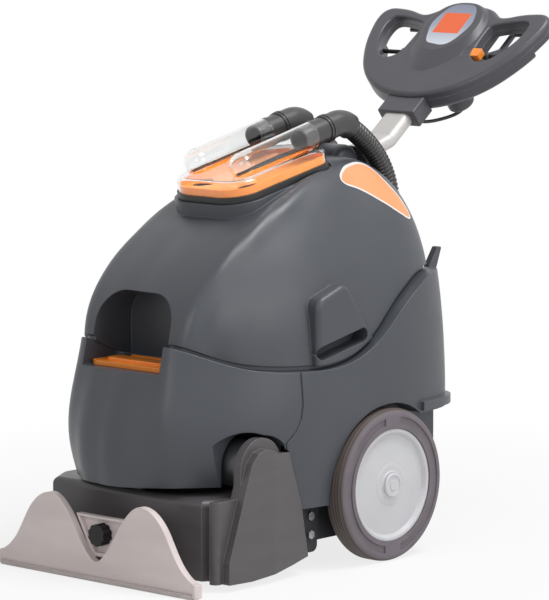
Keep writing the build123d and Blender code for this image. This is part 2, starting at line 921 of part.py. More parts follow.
def axle_cap():
    """Domed cap on the axle's end."""
    cap = fillet(Cylinder(cap_r, cap_height).edges().sort_by(Axis.Z)[-1], 2.5)
    cap -= Pos(0, 0, cap_height / 2) * (Cylinder(cap_r - 5, 2) - Cylinder(cap_button_r, 2))
    return Pos(tyre_face_x - 3 + seat_gap + cap_height / 2, axle_y, wheel_r) * Rot(0, 90, 0) * cap


def wheel_spacer():
    inner = chassis_half_x
    outer = tyre_face_x - tyre_width - seat_gap
    return tube(spacer_r, axle_r + running_fit, outer - inner, (inner + outer) / 2, axle_y, wheel_r)


# Chassis

def chassis_frame():
    """Folded steel tray with two side plates, a rear beam for the post and two rails under the tank."""
    floor_top = chassis_floor_z + chassis_plate
    half = chassis_half_x
    frame = block(-half, half, chassis_front_y, chassis_back_y, chassis_floor_z, floor_top)
    side = block(half - chassis_plate, half, chassis_front_y, side_back_y, side_foot_z, chassis_top_z)
    side -= block(half - 20, half + 1, chassis_front_y - 1, chassis_front_y + 90, side_step_z, 400)
    frame += both_sides(side)
    beam_front_y = chassis_back_y - chassis_plate
    frame += block(-beam_half_x, beam_half_x, beam_front_y, beam_back_y, chassis_floor_z, post_foot_z)
    rail_low = tank_floor_z - seat_gap - chassis_plate
    rail_back_y = chassis_front_y + 20
    for sign in (-1, 1):
        x = sign * rail_x
        inner_x = x - rail_width / 2
        outer_x = x + rail_width / 2
        frame += block(inner_x, outer_x, rail_front_y, rail_back_y, rail_low, rail_low + chassis_plate)
        frame += block(inner_x, outer_x, rail_back_y - chassis_plate, rail_back_y, floor_top, rail_low)
    frame -= rod(axle_r, 2 * half + 10, 0, axle_y, wheel_r)
    return frame


def deck_bracket():
    """Steel strap that joins the deck's side plate to the chassis plate."""
    outer_x = chassis_half_x + bracket_thickness
    strap = block(chassis_half_x, outer_x, bracket_front_y, bracket_back_y, bracket_foot_z, bracket_top_z)
    strap = fillet(strap.edges().filter_by(Axis.X).group_by(Axis.Z)[0], 12)
    return strap - [rod(bolt_r, 30, chassis_half_x, y, z) for y, z in bracket_spots()]


def bracket_spots():
    return [(y, z) for y in (bracket_front_y + 12, bracket_back_y - 19) for z in (61, 93)]


def bracket_bolts():
    bolts = []
    for y, z in bracket_spots():
        seat = chassis_half_x + bracket_thickness
        hexagon = RegularPolygon(bolt_head_r, 6)
        head = Pos(seat + bolt_head / 2, y, z) * Rot(0, 90, 0) * extrude(hexagon, bolt_head / 2, both=True)
        shank = rod(bolt_r, bracket_thickness, chassis_half_x + bracket_thickness / 2, y, z)
        bolts += both_sides(head + shank)
    return bolts


# Brush deck and drive

def brush_deck():
    """Open-bottomed brush housing with a raised drive plate on the right."""
    half = deck_half_x
    plan = [(-half, deck_back_y), (-half, -390), (-deck_front_half, deck_front_y)]
    plan += [(-x, y) for x, y in reversed(plan)]
    outline = make_face(Polyline(*plan, close=True))
    shell = Pos(0, 0, deck_foot_z) * extrude(outline, amount=deck_top_z - deck_foot_z)
    shell = fillet(shell.faces().sort_by(Axis.Z)[-1].edges().sort_by(Axis.Y)[:3], deck_round)
    room_x = half - chassis_plate
    room = block(-room_x, room_x, deck_front_y + 24, deck_back_y - wall, 0, deck_top_z - wall)
    room = fillet(room.edges().filter_by(Axis.X).sort_by(Axis.Z)[-2:], 30)
    shell -= room
    plate = rod(motor_bay_r - 6, chassis_plate, half - chassis_plate / 2, drive_y, drive_z)
    plate += block(half - chassis_plate, half, drive_y - 47, drive_y + 47, deck_foot_z + 40, drive_z)
    shell += plate
    shell -= rod(motor_shaft_r + 2, 40, half, drive_y, drive_z)
    for sign in (-1, 1):
        shell -= rod(bearing_r, 60, sign * half, brush_y, brush_z)
        lug = rod(lug_r, lug_width, sign * lug_x, shoe_pin_y, shoe_pin_z)
        left = sign * lug_x - lug_width / 2
        lug += block(left, left + lug_width, shoe_pin_y, deck_front_y, shoe_pin_z - lug_r, shoe_pin_z + lug_r)
        shell += lug
    shell -= rod(shoe_pin_r, 3 * lug_x, 0, shoe_pin_y, shoe_pin_z)
    return shell


def brush_bearing():
    x = deck_half_x - chassis_plate / 2
    return tube(bearing_r, brush_shaft_r + running_fit, bearing_width, x, brush_y, brush_z)


def brush_core():
    """Brush cylinder with its shaft."""
    core = rod(brush_core_r, 2 * brush_half, 0, brush_y, brush_z)
    low = -deck_half_x - 2
    high = pulley_x + pulley_width / 2
    return core + rod(brush_shaft_r, high - low, (low + high) / 2, brush_y, brush_z)


def brush_bristles():
    """Tufts set in rows that wind round the core."""
    tufts = []
    pitch = 2 * brush_half / tufts_per_row
    depth = brush_r - brush_core_r + 1
    for row in range(tuft_rows):
        for index in range(tufts_per_row):
            angle = 360 * row / tuft_rows + 9 * abs(index - (tufts_per_row - 1) / 2)
            x = -brush_half + (index + 0.5) * pitch
            tuft = Pos(x, 0, brush_core_r - 1 + depth / 2) * Box(tuft_length, tuft_width, depth)
            tufts.append(Pos(0, brush_y, brush_z) * Rot(angle, 0, 0) * tuft)
    return [tuft - rod(brush_core_r, 2 * brush_half, 0, brush_y, brush_z) for tuft in tufts]


def pulley(radius, bore, y, z):
    """Flanged pulley for the flat belt."""
    flange_r = radius + pulley_flange
    body = rod(radius, pulley_width, pulley_x, y, z)
    for sign in (-1, 1):
        flange = (pulley_width - belt_width) / 2 - belt_gap
        body += rod(flange_r, flange, pulley_x + sign * (pulley_width / 2 - 0.85), y, z)
    return body - rod(bore, pulley_width + 2, pulley_x, y, z)


def belt_loop(upper_r, lower_r, width):
    """Solid bounded by a taut belt round the two pulleys."""
    span = drive_z - brush_z
    lean = asin((lower_r - upper_r) / span)
    sides = []
    for sign in (-1, 1):
        out = Vector(0, sign * cos(lean), sin(lean))
        high = Vector(0, drive_y, drive_z) + out * upper_r
        low = Vector(0, brush_y, brush_z) + out * lower_r
        sides.append((high, low))
    points = [sides[0][0], sides[0][1], sides[1][1], sides[1][0]]
    loop = side_profile([(p.Y, p.Z) for p in points], pulley_x - width / 2, pulley_x + width / 2)
    loop += rod(upper_r, width, pulley_x, drive_y, drive_z)
    return loop + rod(lower_r, width, pulley_x, brush_y, brush_z)


def drive_belt():
    upper = motor_pulley_r + belt_gap
    lower = brush_pulley_r + belt_gap
    outside = belt_loop(upper + belt_thickness, lower + belt_thickness, belt_width)
    return outside - belt_loop(upper, lower, belt_width + 2)


def brush_motor():
    """Motor can with a stepped end bell, bolted to the deck's drive plate."""
    end = deck_half_x - chassis_plate - seat_gap
    can = rod(motor_r, motor_length, end - motor_length / 2, drive_y, drive_z)
    can += rod(motor_r - 12, 18, end - motor_length - 8, drive_y, drive_z)
    can = fillet(can.edges().sort_by(Axis.X)[:1], 5)
    return can - rod(motor_shaft_r + running_fit, 60, end, drive_y, drive_z)


def motor_shaft():
    inner = deck_half_x - chassis_plate - 25
    outer = pulley_x + pulley_width / 2
    return rod(motor_shaft_r, outer - inner, (inner + outer) / 2, drive_y, drive_z)


def cover_side(shrink, x0, x1):
    """Flat layer of the belt cover: round top over the motor pulley and a skirt along the deck's end."""
    front = cover_front_y + shrink
    low = cover_foot_z + shrink
    high = deck_top_z + 2 - shrink
    rear = [(y - shrink, z) for y, z in cover_rear]
    foot_y = cover_rear[-1][0] - shrink
    foot = [(front, low), (front, high), (-372, high), (-345, high + 15), (cover_top_y, high + 15)]
    foot += [(rear[0][0], rear[0][1] - shrink), rear[1]]
    foot += [(foot_y, cover_rear[-1][1] + shrink), (-298, low + 4)]
    layer = side_profile(foot, x0, x1)
    layer += rod(cover_top_r - shrink, x1 - x0, (x0 + x1) / 2, cover_top_y, drive_z)
    side = block(x0, x1, cover_top_y - cover_top_r + shrink, cover_top_y, high - 10, drive_z)
    return layer + side


def cover_panel(shrink, x0, x1):
    """Raised panel of the belt cover, narrowing to a rounded top, with a bowed foot."""
    left = [(y + shrink, z - shrink) for y, z in cover_panel_left]
    rear = [(y - shrink, z) for y, z in cover_rear]
    foot = [(y, z + shrink) for y, z in cover_foot]
    foot[-1] = (foot[-1][0] + shrink, foot[-1][1])
    panel = side_profile(left + rear + foot, x0, x1)
    return panel - Pos(x1, cover_crease_y, 0) * Rot(0, 0, cover_crease) * block(0, 60, 0, 300, -50, 400)


def belt_cover():
    """Hollow drive cover in two layers: a side skirt with a round top, and a raised creased panel."""
    body = cover_side(0, cover_back_x, cover_step_x)
    edge = body.edges().filter_by(Axis.Z).sort_by(Axis.Y)[:2].sort_by(Axis.X)[-1]
    body = fillet(edge, 10)
    body += cover_panel(0, cover_back_x, cover_face_x)
    body -= cover_side(cover_wall, cover_back_x - 1, cover_step_x - cover_wall)
    return body - cover_panel(cover_wall, cover_back_x - 1, cover_face_x - cover_wall)


def bearing_cover():
    """Flat cap over the brush bearing on the left."""
    cap = Rot(0, -90, 0) * fillet(Cylinder(36, 10).edges().sort_by(Axis.Z)[-1], 4)
    cap = Pos(-deck_half_x - seat_gap - 5, brush_y, brush_z) * cap
    return cap - rod(bearing_r + 2, 14, -deck_half_x, brush_y, brush_z)


def cover_screws():
    """Round screw heads on the bearing cover."""
    screws = []
    for turn in range(3):
        angle = radians(120 * turn + 90)
        y = brush_y + screw_circle_r * cos(angle)
        z = brush_z + screw_circle_r * sin(angle)
        screw = rod(screw_r, screw_head, -deck_half_x - seat_gap - 10 - screw_head / 2, y, z)
        screws.append(fillet(screw.edges().sort_by(Axis.X)[0], 1))
    return screws


def spray_bar():
    """Tube with fan jets behind the brush."""
    bar = rod(spray_r, 2 * spray_half, 0, spray_y, spray_z)
    for index in range(jet_count):
        x = spray_half * (2 * index / (jet_count - 1) - 1) * 0.8
        bar += Pos(x, spray_y, spray_z - 12) * Cylinder(4.5, 14)
    for sign in (-1, 1):
        left = sign * 120 - 6
        bar += block(left, left + 12, spray_y, deck_back_y - wall - seat_gap, spray_z - 4, spray_z + 4)
    return bar


# Vacuum shoe

def shoe_face(inset, y):
    """Twin-hump outline of the shoe, from its foot up."""
    half = shoe_half - inset
    right = [
        (half, shoe_end_z - inset),
        (191, 54 - inset),
        (154, 112 - inset),
        (shoe_peak_x, shoe_peak_z - inset),
        (63, 108 - inset),
        (29, 58 - inset),
        (0, shoe_valley_z - inset),
    ]
    left = [(-x, z) for x, z in reversed(right[:-1])]
    start = Vector(-1, 0, 0.35)
    stop = Vector(-1, 0, -0.35)
    crest = Spline(*[(x, y, z) for x, z in right + left], tangents=(start, stop))
    side_z = shoe_end_z - inset
    foot = Polyline((-half, y, side_z), (-half, y, 0), (half, y, 0), (half, y, side_z))
    return make_face([crest, foot])


def vacuum_shoe():
    """Flat hollow suction shoe with two humps, open in a slot along its foot."""
    lift = strip_height
    body = extrude(shoe_face(0, shoe_front_y), amount=shoe_depth, dir=(0, 1, 0))
    body &= block(-300, 300, -600, -400, lift, 300)
    gap = (shoe_depth - shoe_slot) / 2
    hollow = extrude(shoe_face(shoe_wall + 1, shoe_front_y + gap), amount=shoe_slot, dir=(0, 1, 0))
    return body - hollow


def shoe_strip():
    """Wear strip along the foot, split by the suction slot."""
    gap = (shoe_depth - shoe_slot) / 2
    front = shoe_front_y - strip_reach
    strip = block(-shoe_half, shoe_half, front, shoe_front_y + shoe_depth, 0, strip_height)
    strip = fillet(strip.edges().filter_by(Axis.X).sort_by(Axis.Y)[:1], 2)
    reach = shoe_half - shoe_wall - 1
    slot_y = shoe_front_y + gap
    return strip - block(-reach, reach, slot_y, slot_y + shoe_slot, -1, strip_height + 1)


def shoe_yoke():
    """Bracket behind the valley, with two ears on the deck's pivot pin."""
    back = shoe_front_y + shoe_depth
    plate_y = back + yoke_depth - shoe_depth
    points = [(-yoke_half, yoke_top_z), (yoke_half, yoke_top_z), (20, 40), (-20, 40)]
    face = make_face(Polyline(*[(x, back, z) for x, z in points], close=True))
    rim = extrude(face, amount=plate_y - back, dir=(0, 1, 0))
    inner = [(-yoke_half + 8, yoke_top_z - 4), (yoke_half - 8, yoke_top_z - 4), (14, 46), (-14, 46)]
    hollow = make_face(Polyline(*[(x, back, z) for x, z in inner], close=True))
    yoke = rim - extrude(hollow, amount=plate_y - back - yoke_plate, dir=(0, 1, 0))
    ear_x = lug_x - lug_width / 2 - seat_gap - 4
    ear = rod(lug_r - 2, 8, ear_x, shoe_pin_y, shoe_pin_z)
    ear_r = lug_r - 2
    ear += block(ear_x - 4, ear_x + 4, plate_y - 1, shoe_pin_y, shoe_pin_z - ear_r, shoe_pin_z + ear_r)
    yoke += both_sides(ear)
    yoke -= rod(shoe_pin_r + running_fit, 4 * lug_x, 0, shoe_pin_y, shoe_pin_z)
    stud = Pos(0, plate_y - yoke_plate, knob_z) * Rot(90, 0, 0) * Cylinder(stud_r + running_fit, 40)
    return yoke - stud


def shoe_pin():
    return rod(shoe_pin_r, 2 * lug_x + lug_width, 0, shoe_pin_y, shoe_pin_z)


def shoe_knob():
    """Lobed clamp knob on its stud."""
    plate_y = shoe_front_y + yoke_depth
    back = plate_y - yoke_plate - seat_gap
    grip = extrude(Circle(knob_r), amount=knob_length)
    for turn in range(10):
        notch = Rot(0, 0, 36 * turn) * Pos(knob_r + 3.4, 0, knob_length / 2) * Cylinder(5, knob_length)
        grip -= notch
    grip = fillet(grip.faces().sort_by(Axis.Z)[-1].edges(), 1.5)
    stud = Pos(0, 0, -9) * Cylinder(stud_r, 22)
    return Pos(0, back, knob_z) * Rot(90, 0, 0) * (grip + stud)


# Motors on the chassis floor

def vacuum_motor():
    """Two-stage vacuum motor with a narrower cooling head."""
    foot = chassis_floor_z + chassis_plate
    body = Pos(0, vacuum_y, foot + vacuum_height / 2) * Cylinder(vacuum_r, vacuum_height)
    head = Pos(0, vacuum_y, foot + vacuum_height + 25) * Cylinder(vacuum_r - 22, 50)
    return fillet((body + head).edges().sort_by(Axis.Z)[1:], 6)


def solution_pump():
    """Diaphragm pump lying on its foot plate."""
    foot = chassis_floor_z + chassis_plate
    body = rod(pump_r, pump_length, pump_x, pump_y, foot + pump_r + 6)
    body += block(pump_x - 34, pump_x + 34, pump_y - 24, pump_y + 24, foot, foot + 12)
    return body + rod(pump_r + 5, 20, pump_x - 26, pump_y, foot + pump_r + 6)


# Handle

def handle_post():
    """Square tube that carries the handle, standing on the chassis beam."""
    section = RectangleRounded(post_width, post_depth, 5)
    section -= Rectangle(post_width - 2 * post_wall, post_depth - 2 * post_wall)
    return Pos(0, pivot_y, post_foot_z) * extrude(section, amount=post_top_z - post_foot_z)


def pivot_tongue():
    """Lug on top of the post, inside the column's end."""
    half_y = post_depth / 2
    lug = block(-post_width / 2, post_width / 2, -half_y, half_y, post_top_z, post_top_z + tongue_plate)
    lug += block(-tongue_half, tongue_half, -tongue_r, tongue_r, post_top_z, pivot_z)
    lug += rod(tongue_r, 2 * tongue_half, 0, 0, pivot_z)
    return Pos(0, pivot_y, 0) * (lug - rod(pivot_r, 4 * tongue_half, 0, 0, pivot_z))


def pivot_pin():
    """Pin through the column's end, with a flat head on each side."""
    reach = column_width / 2 + seat_gap
    pin = rod(pivot_r, 2 * reach, 0, pivot_y, pivot_z)
    head = rod(pivot_head_r, pivot_head, reach + pivot_head / 2, pivot_y, pivot_z)
    for side in both_sides(head):
        pin += side
    return pin


def column_section(shrink):
    return RectangleRounded(column_width - 2 * shrink, column_depth - 2 * shrink, column_round - shrink)


def lower_plane(run):
    """Cross-section plane of the lower column length, run along it from the pivot."""
    heading = Vector(0, cos(radians(lower_tilt)), sin(radians(lower_tilt)))
    return Plane(origin=Vector(0, pivot_y, pivot_z) + heading * run, x_dir=(1, 0, 0), z_dir=heading)


def upper_plane(run):
    """Cross-section plane of the upper column length, run along it from the bend."""
    bend = Vector(0, bend_y, pivot_z + (bend_y - pivot_y) * tan(radians(lower_tilt)))
    heading = Vector(0, cos(radians(upper_tilt)), sin(radians(upper_tilt)))
    return Plane(origin=bend + heading * run, x_dir=(1, 0, 0), z_dir=heading)


def beyond_mitre(rear_side):
    """Everything on one side of the mitre between the two column lengths."""
    tilt = radians((lower_tilt + upper_tilt) / 2)
    sign = 1 if rear_side else -1
    normal = (0, sign * cos(tilt), sign * sin(tilt))
    plane = Plane(origin=upper_plane(0).origin, x_dir=(1, 0, 0), z_dir=normal)
    return plane * extrude(Rectangle(400, 400), amount=400)


def column_lower():
    """Lower column length, slotted at its end for the post's tongue."""
    reach = (bend_y - pivot_y) / cos(radians(lower_tilt)) + 50
    bar = extrude(column_section(0) - column_section(column_wall), amount=reach + column_nose)
    slot_half = tongue_half + slot_clear
    slot = block(-slot_half, slot_half, 0, column_depth, -1, column_nose + slot_reach)
    bar = lower_plane(-column_nose) * (bar - slot)
    return bar - beyond_mitre(True) - rod(pivot_r + running_fit, 2 * column_width, 0, pivot_y, pivot_z)


def column_upper():
    """Upper column length, from the mitre up into the head."""
    bar = upper_plane(-50) * extrude(column_section(0) - column_section(column_wall), amount=50 + column_end)
    return bar - beyond_mitre(False)


def column_clamp():
    """Moulded block that clamps the column where it enters the head."""
    outer = fillet(extrude(Rectangle(clamp_width, clamp_depth), amount=clamp_length).edges(), 3)
    return upper_plane(clamp_start) * (outer - extrude(column_section(0), amount=clamp_length))


def column_room():
    """Socket in the head for the column's end and the clamp."""
    socket = upper_plane(0) * extrude(column_section(-seat_gap), amount=column_end + seat_gap)
    mouth = Rectangle(clamp_width + 2 * seat_gap, clamp_depth + 2 * seat_gap)
    return socket + upper_plane(0) * extrude(mouth, amount=clamp_start + clamp_length + seat_gap)


def head_plane():
    lean = radians(head_tilt)
    return Plane(origin=(0, head_y, head_z), x_dir=(1, 0, 0), z_dir=(0, -sin(lean), cos(lean)))


def mirrored_ring(right):
    """Half outline from the middle line back to it, followed by its mirror image."""
    return right + [(-u, v) for u, v in reversed(right[1:-1])]


def head_outline():
    """Plan of the control head: round front, two arms, slanting grips and the pod between them."""
    arm = [(60, 4), (113, 32), (148, 66), (169, 99), (185, 134), (head_half - 3, 172), (head_half, 200)]
    grip = [(194, 216), (180, grip_outer_v - 1), (162, grip_outer_v), (124, 221), (86, grip_inner_v)]
    grip += [(60, 230), (31, pod_back - 3)]
    right = [(0, head_front)] + arm + grip + [(0, pod_back)]
    return make_face(Spline(*mirrored_ring(right), periodic=True))


def hand_loop():
    """Opening between an arm, the grip and the pod."""
    inner = [(79, 182), (78, 160), (80, 132), (86, 106), (98, 95), (112, 93)]
    outer = [(128, 100), (145, 120), (158, 147), (164, 176), (158, 199), (140, 201), (112, 196), (90, 190)]
    return make_face(Spline(*inner, *outer, periodic=True))


def head_slab(low, high):
    loop = hand_loop()
    face = head_outline() - loop - mirror(loop, about=Plane.YZ)
    return Pos(0, 0, low) * extrude(face, amount=high - low)


def head_hollow(low, high):
    """Room inside the head, from its front back into the pod."""
    front = [(0, 10), (56, 18), (100, 40), (122, 62), (106, 84)]
    right = front + [(78, 96), (70, 128), (64, 184), (46, 220), (0, 230)]
    room = make_face(Polyline(*mirrored_ring(right), close=True))
    return Pos(0, 0, low) * extrude(room, amount=high - low)


def pod_outline(half, front, back):
    """Egg-shaped plan of the raised pod."""
    right = [(0, front), (0.76 * half, front + 0.22 * (back - front)), (half, 182), (0.66 * half, back - 12)]
    return make_face(Spline(*mirrored_ring(right + [(0, back)]), periodic=True))


def raised_pod():
    """Hump that rises from the head's front to the panel."""
    foot = Pos(0, 0, head_top - 2) * pod_outline(pod_foot_half, pod_foot_front, pod_back - 2)
    pod = loft([foot, pod_outline(pod_half, pod_front, pod_back - 6)])
    return fillet(pod.faces().sort_by(Axis.Z)[-1].edges(), pod_round)


def panel_outline():
    right = [(0, panel_front), (27, panel_front + 7), (39, panel_front + 30), (panel_half, panel_front + 53)]
    right += [(40, panel_back - 27), (26, panel_back - 5), (0, panel_back)]
    return make_face(Spline(*mirrored_ring(right), periodic=True))


def head_cuts():
    """Bores and pockets that both head shells share."""
    return [lever_shaft_rod(1), lever_shaft_rod(-1), button_room()]


def head_upper():
    """Upper shell of the head with the raised pod and the panel's seat."""
    shell = head_slab(head_split, head_top)
    top = shell.faces().sort_by(Axis.Z)[-1]
    shell = fillet([edge for wire in top.inner_wires() for edge in wire.edges()], loop_round)
    shell = fillet(shell.faces().sort_by(Axis.Z)[-1].outer_wire().edges(), head_round)
    shell += raised_pod()
    shell -= head_hollow(head_split - 1, head_top - head_wall)
    shell -= Pos(0, 0, -panel_thickness) * extrude(panel_outline(), amount=20)
    shell -= head_cuts()
    return head_plane() * shell - column_room()


def head_lower():
    """Lower shell of the head, thinner under the grips."""
    shell = head_slab(head_bottom, head_split - seat_gap)
    shell = fillet(shell.faces().sort_by(Axis.Z)[0].outer_wire().edges(), head_round)
    shell -= head_hollow(head_bottom + head_wall, head_split)
    grip_room = block(pod_foot_half, 240, 150, 300, head_bottom - 1, grip_bottom)
    shell -= both_sides(grip_room)
    shell -= head_cuts()
    return head_plane() * shell - column_room()


def head_panel():
    panel = extrude(panel_outline(), amount=panel_thickness + panel_proud)
    return head_plane() * Pos(0, 0, -panel_thickness) * panel


def lever_shaft_rod(sign):
    length = shaft_outer_u - shaft_inner_u
    return rod(lever_shaft_r, length, sign * (shaft_inner_u + length / 2), lever_axis_v, lever_axis_w)


def lever_shafts():
    """Black cross bars that carry the squeeze levers."""
    return [head_plane() * lever_shaft_rod(sign) for sign in (-1, 1)]


def switch_lever():
    """Squeeze lever: eye on the cross bar, arm along the pod, paddle under the grip."""
    high = grip_bottom - lever_gap
    low = high - lever_thickness
    far = lever_axis_v + lever_reach
    middle = lever_inner_u + lever_arm / 2
    lever = rod(lever_eye_r, lever_arm, middle, lever_axis_v, lever_axis_w)
    points = [
        (lever_axis_v - 6, lever_axis_w - 4),
        (lever_axis_v + 30, low),
        (far - 3, low),
        (far - 3, high),
        (lever_axis_v + 36, high),
        (lever_axis_v + 7, lever_axis_w + 2),
    ]
    lever += side_profile(points, lever_inner_u, lever_inner_u + lever_arm)
    paddle = block(lever_inner_u, lever_outer_u, far - lever_width, far, low, high)
    lever += fillet(paddle.edges().filter_by(Axis.X), 2.5)
    lever -= rod(lever_shaft_r + running_fit, 4 * lever_arm, middle, lever_axis_v, lever_axis_w)
    return head_plane() * lever


def button_block(grow, u0, u1):
    half_v = button_length / 2 + grow
    half_w = button_width / 2 + grow
    return block(u0, u1, button_v - half_v, button_v + half_v, button_w - half_w, button_w + half_w)


def button_room():
    return button_block(seat_gap, button_inner_u - button_travel - seat_gap, button_outer_u + 20)


def lock_button():
    """Orange lock button in the pod's side wall."""
    body = button_block(0, button_inner_u, button_outer_u)
    return head_plane() * fillet(body.edges().filter_by(Axis.Z), 3)


def gland_box():
    """Round housing under the head where the cable comes out."""
    body = Pos(gland_u, gland_v, head_bottom - seat_gap - gland_height / 2) * Cylinder(gland_r, gland_height)
    return head_plane() * fillet(body.edges().sort_by(Axis.Z)[0], 5)


def control_cable():
    """Cable that loops from the gland box down to the back of the clamp."""
    start = head_plane().from_local_coords(Vector(gland_u, gland_v, head_bottom - seat_gap - gland_height))
    drop = head_plane().from_local_coords(Vector(gland_u, gland_v, head_bottom - gland_height - cable_drop))
    socket = upper_plane(clamp_start + clamp_length - cable_drop)
    plug = socket.from_local_coords(Vector(cable_plug_x, clamp_depth / 2 + seat_gap, 0))
    below = socket.from_local_coords(Vector(cable_plug_x, clamp_depth / 2 + cable_drop, 0))
    path = FilletPolyline(start, drop, below, plug, radius=cable_bend_r)
    cable = sweep(Plane(origin=path @ 0, z_dir=path % 0) * Circle(cable_r), path=path)
    share = cable.volume / (pi * cable_r ** 2 * path.length)
    print("cable bend radius", cable_bend_r, "length", round(path.length, 1), "volume share", round(share, 3))
    return cable


# Cord hook

def hook_stub():
    """Round stub on the rear housing that carries the cord hook."""
    return Pos(hook_x, hook_y, hook_z) * Rot(-90, 0, 0) * Pos(0, 0, -6) * Cylinder(hook_stub_r, 36)


def cord_hook():
    """Swivel hook that holds the coiled power cord."""
    tip_y = hook_y + hook_reach
    tip_z = hook_z + hook_height
    points = [(hook_y, hook_z - 14), (hook_y + 11, hook_z - 14), (tip_y, tip_z), (tip_y - 11, tip_z)]
    points.append((hook_y, hook_z + 14))
    hook = side_profile(points, hook_x - hook_thickness / 2, hook_x + hook_thickness / 2)
    hook = fillet(hook.edges().filter_by(Axis.X), 3)
    boss = Pos(hook_x, hook_y + 6, hook_z) * Rot(90, 0, 0) * Cylinder(hook_stub_r + 6, 12)
    bore = Pos(hook_x, hook_y, hook_z) * Rot(90, 0, 0) * Cylinder(hook_stub_r + running_fit, 60)
    return hook + boss - bore


nodes = {
    "chassis_frame": chassis_frame,
    "axle": axle,
    "wheel_spacers": lambda: both_sides(wheel_spacer()),
    "tyre_right": tyre,
    "tyre_left": lambda: mirror(tyre(), about=Plane.YZ),
    "hub_right": hub,
    "hub_left": lambda: mirror(hub(), about=Plane.YZ),
    "axle_caps": lambda: both_sides(axle_cap()),
    "solution_tank": solution_tank,
    "rear_housing": rear_housing,
    "recovery_tank": recovery_tank,
    "fill_cap": fill_cap,
    "fill_cap_pin": fill_pin,
    "lid_gasket": lid_gasket,
    "lid_dome": lid_dome,
    "lid_tray": lid_tray,
    "lid_cuffs": lambda: both_sides(lid_cuff()),
    "hose_elbow_right": hose_elbow,
    "hose_elbow_left": lambda: mirror(hose_elbow(), about=Plane.YZ),
    "hose_right": ribbed_hose,
    "hose_left": lambda: mirror(ribbed_hose(), about=Plane.YZ),
    "hose_ports": lambda: both_sides(hose_port()),
    "brush_deck": brush_deck,
    "deck_brackets": lambda: both_sides(deck_bracket()),
    "bracket_bolts": bracket_bolts,
    "belt_cover": belt_cover,
    "bearing_cover": bearing_cover,
    "cover_screws": cover_screws,
    "brush_core": brush_core,
    "brush_bristles": brush_bristles,
    "brush_bearings": lambda: both_sides(brush_bearing()),
    "brush_pulley": lambda: pulley(brush_pulley_r, brush_shaft_r, brush_y, brush_z),
    "motor_pulley": lambda: pulley(motor_pulley_r, motor_shaft_r, drive_y, drive_z),
    "drive_belt": drive_belt,
    "brush_motor": brush_motor,
    "motor_shaft": motor_shaft,
    "spray_bar": spray_bar,
    "vacuum_shoe": vacuum_shoe,
    "shoe_strip": shoe_strip,
    "shoe_yoke": shoe_yoke,
    "shoe_pin": shoe_pin,
    "shoe_knob": shoe_knob,
    "vacuum_motor": vacuum_motor,
    "solution_pump": solution_pump,
    "handle_post": handle_post,
    "pivot_tongue": pivot_tongue,
    "pivot_pin": pivot_pin,
    "column_lower": column_lower,
    "column_upper": column_upper,
    "column_clamp": column_clamp,
    "head_upper": head_upper,
    "head_lower": head_lower,
    "head_panel": head_panel,
    "lever_shafts": lever_shafts,
    "switch_lever_right": switch_lever,
    "switch_lever_left": lambda: mirror(switch_lever(), about=Plane.YZ),
    "lock_button": lock_button,
    "gland_box": gland_box,
    "control_cable": control_cable,
    "cord_hook": cord_hook,
}

os.makedirs("parts", exist_ok=True)
for name, make in nodes.items():
    piece = make()
    solids = [solid for item in (piece if isinstance(piece, list) else [piece]) for solid in item.solids()]
    export_step(Compound(children=solids), f"parts/{name}.step")
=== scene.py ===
import math

import bpy
import numpy as np
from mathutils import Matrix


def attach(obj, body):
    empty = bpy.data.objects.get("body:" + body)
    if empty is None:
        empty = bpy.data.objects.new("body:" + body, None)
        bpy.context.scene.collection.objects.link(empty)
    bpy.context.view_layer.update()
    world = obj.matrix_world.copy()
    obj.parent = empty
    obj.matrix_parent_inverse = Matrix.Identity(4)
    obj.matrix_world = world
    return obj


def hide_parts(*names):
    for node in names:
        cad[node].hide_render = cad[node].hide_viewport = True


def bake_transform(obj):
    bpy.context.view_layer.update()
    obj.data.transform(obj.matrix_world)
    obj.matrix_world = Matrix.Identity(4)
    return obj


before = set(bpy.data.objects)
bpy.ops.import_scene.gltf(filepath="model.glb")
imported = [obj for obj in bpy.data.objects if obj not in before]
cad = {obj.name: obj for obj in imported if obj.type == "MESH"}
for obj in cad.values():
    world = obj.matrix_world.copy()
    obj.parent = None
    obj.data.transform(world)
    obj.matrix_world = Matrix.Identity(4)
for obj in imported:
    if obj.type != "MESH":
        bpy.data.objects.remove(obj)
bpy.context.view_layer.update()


# Chassis, axle and post. Folded steel sheet with a black powder coat; the axle, pins and spacers are
# bare turned steel, and the bearings are pressed into the deck's side plates.

def srgb(red, green, blue):
    """Colour as seen on a screen, 0 to 255, in the linear values that a shader takes."""
    seen = np.array([red, green, blue]) / 255
    linear = np.where(seen < 0.04045, seen / 12.92, ((seen + 0.055) / 1.055) ** 2.4)
    return (*linear.tolist(), 1.0)


def shade(colour, share):
    """The same colour, lighter or darker by a share."""
    return (*(min(1.0, part * share) for part in colour[:3]), 1.0)


def new_finish(name, **sockets):
    """Material with one shader; constants go straight on the shader's own sockets."""
    material = bpy.data.materials.new(name)
    material.use_nodes = True
    shader = material.node_tree.nodes["Principled BSDF"]
    for socket, value in sockets.items():
        shader.inputs[socket.replace("_", " ")].default_value = value
    return material, material.node_tree, shader


def clouds(tree, size, detail=2.0, stretch=(1, 1, 1)):
    """Cloud pattern whose patches measure about size metres, drawn out where stretch is small."""
    place = tree.nodes.new("ShaderNodeTexCoord")
    turn = tree.nodes.new("ShaderNodeMapping")
    turn.inputs["Scale"].default_value = stretch
    pattern = tree.nodes.new("ShaderNodeTexNoise")
    pattern.inputs["Scale"].default_value = 1 / size
    pattern.inputs["Detail"].default_value = detail
    tree.links.new(place.outputs["Object"], turn.inputs["Vector"])
    tree.links.new(turn.outputs["Vector"], pattern.inputs["Vector"])
    return pattern.outputs["Fac"]


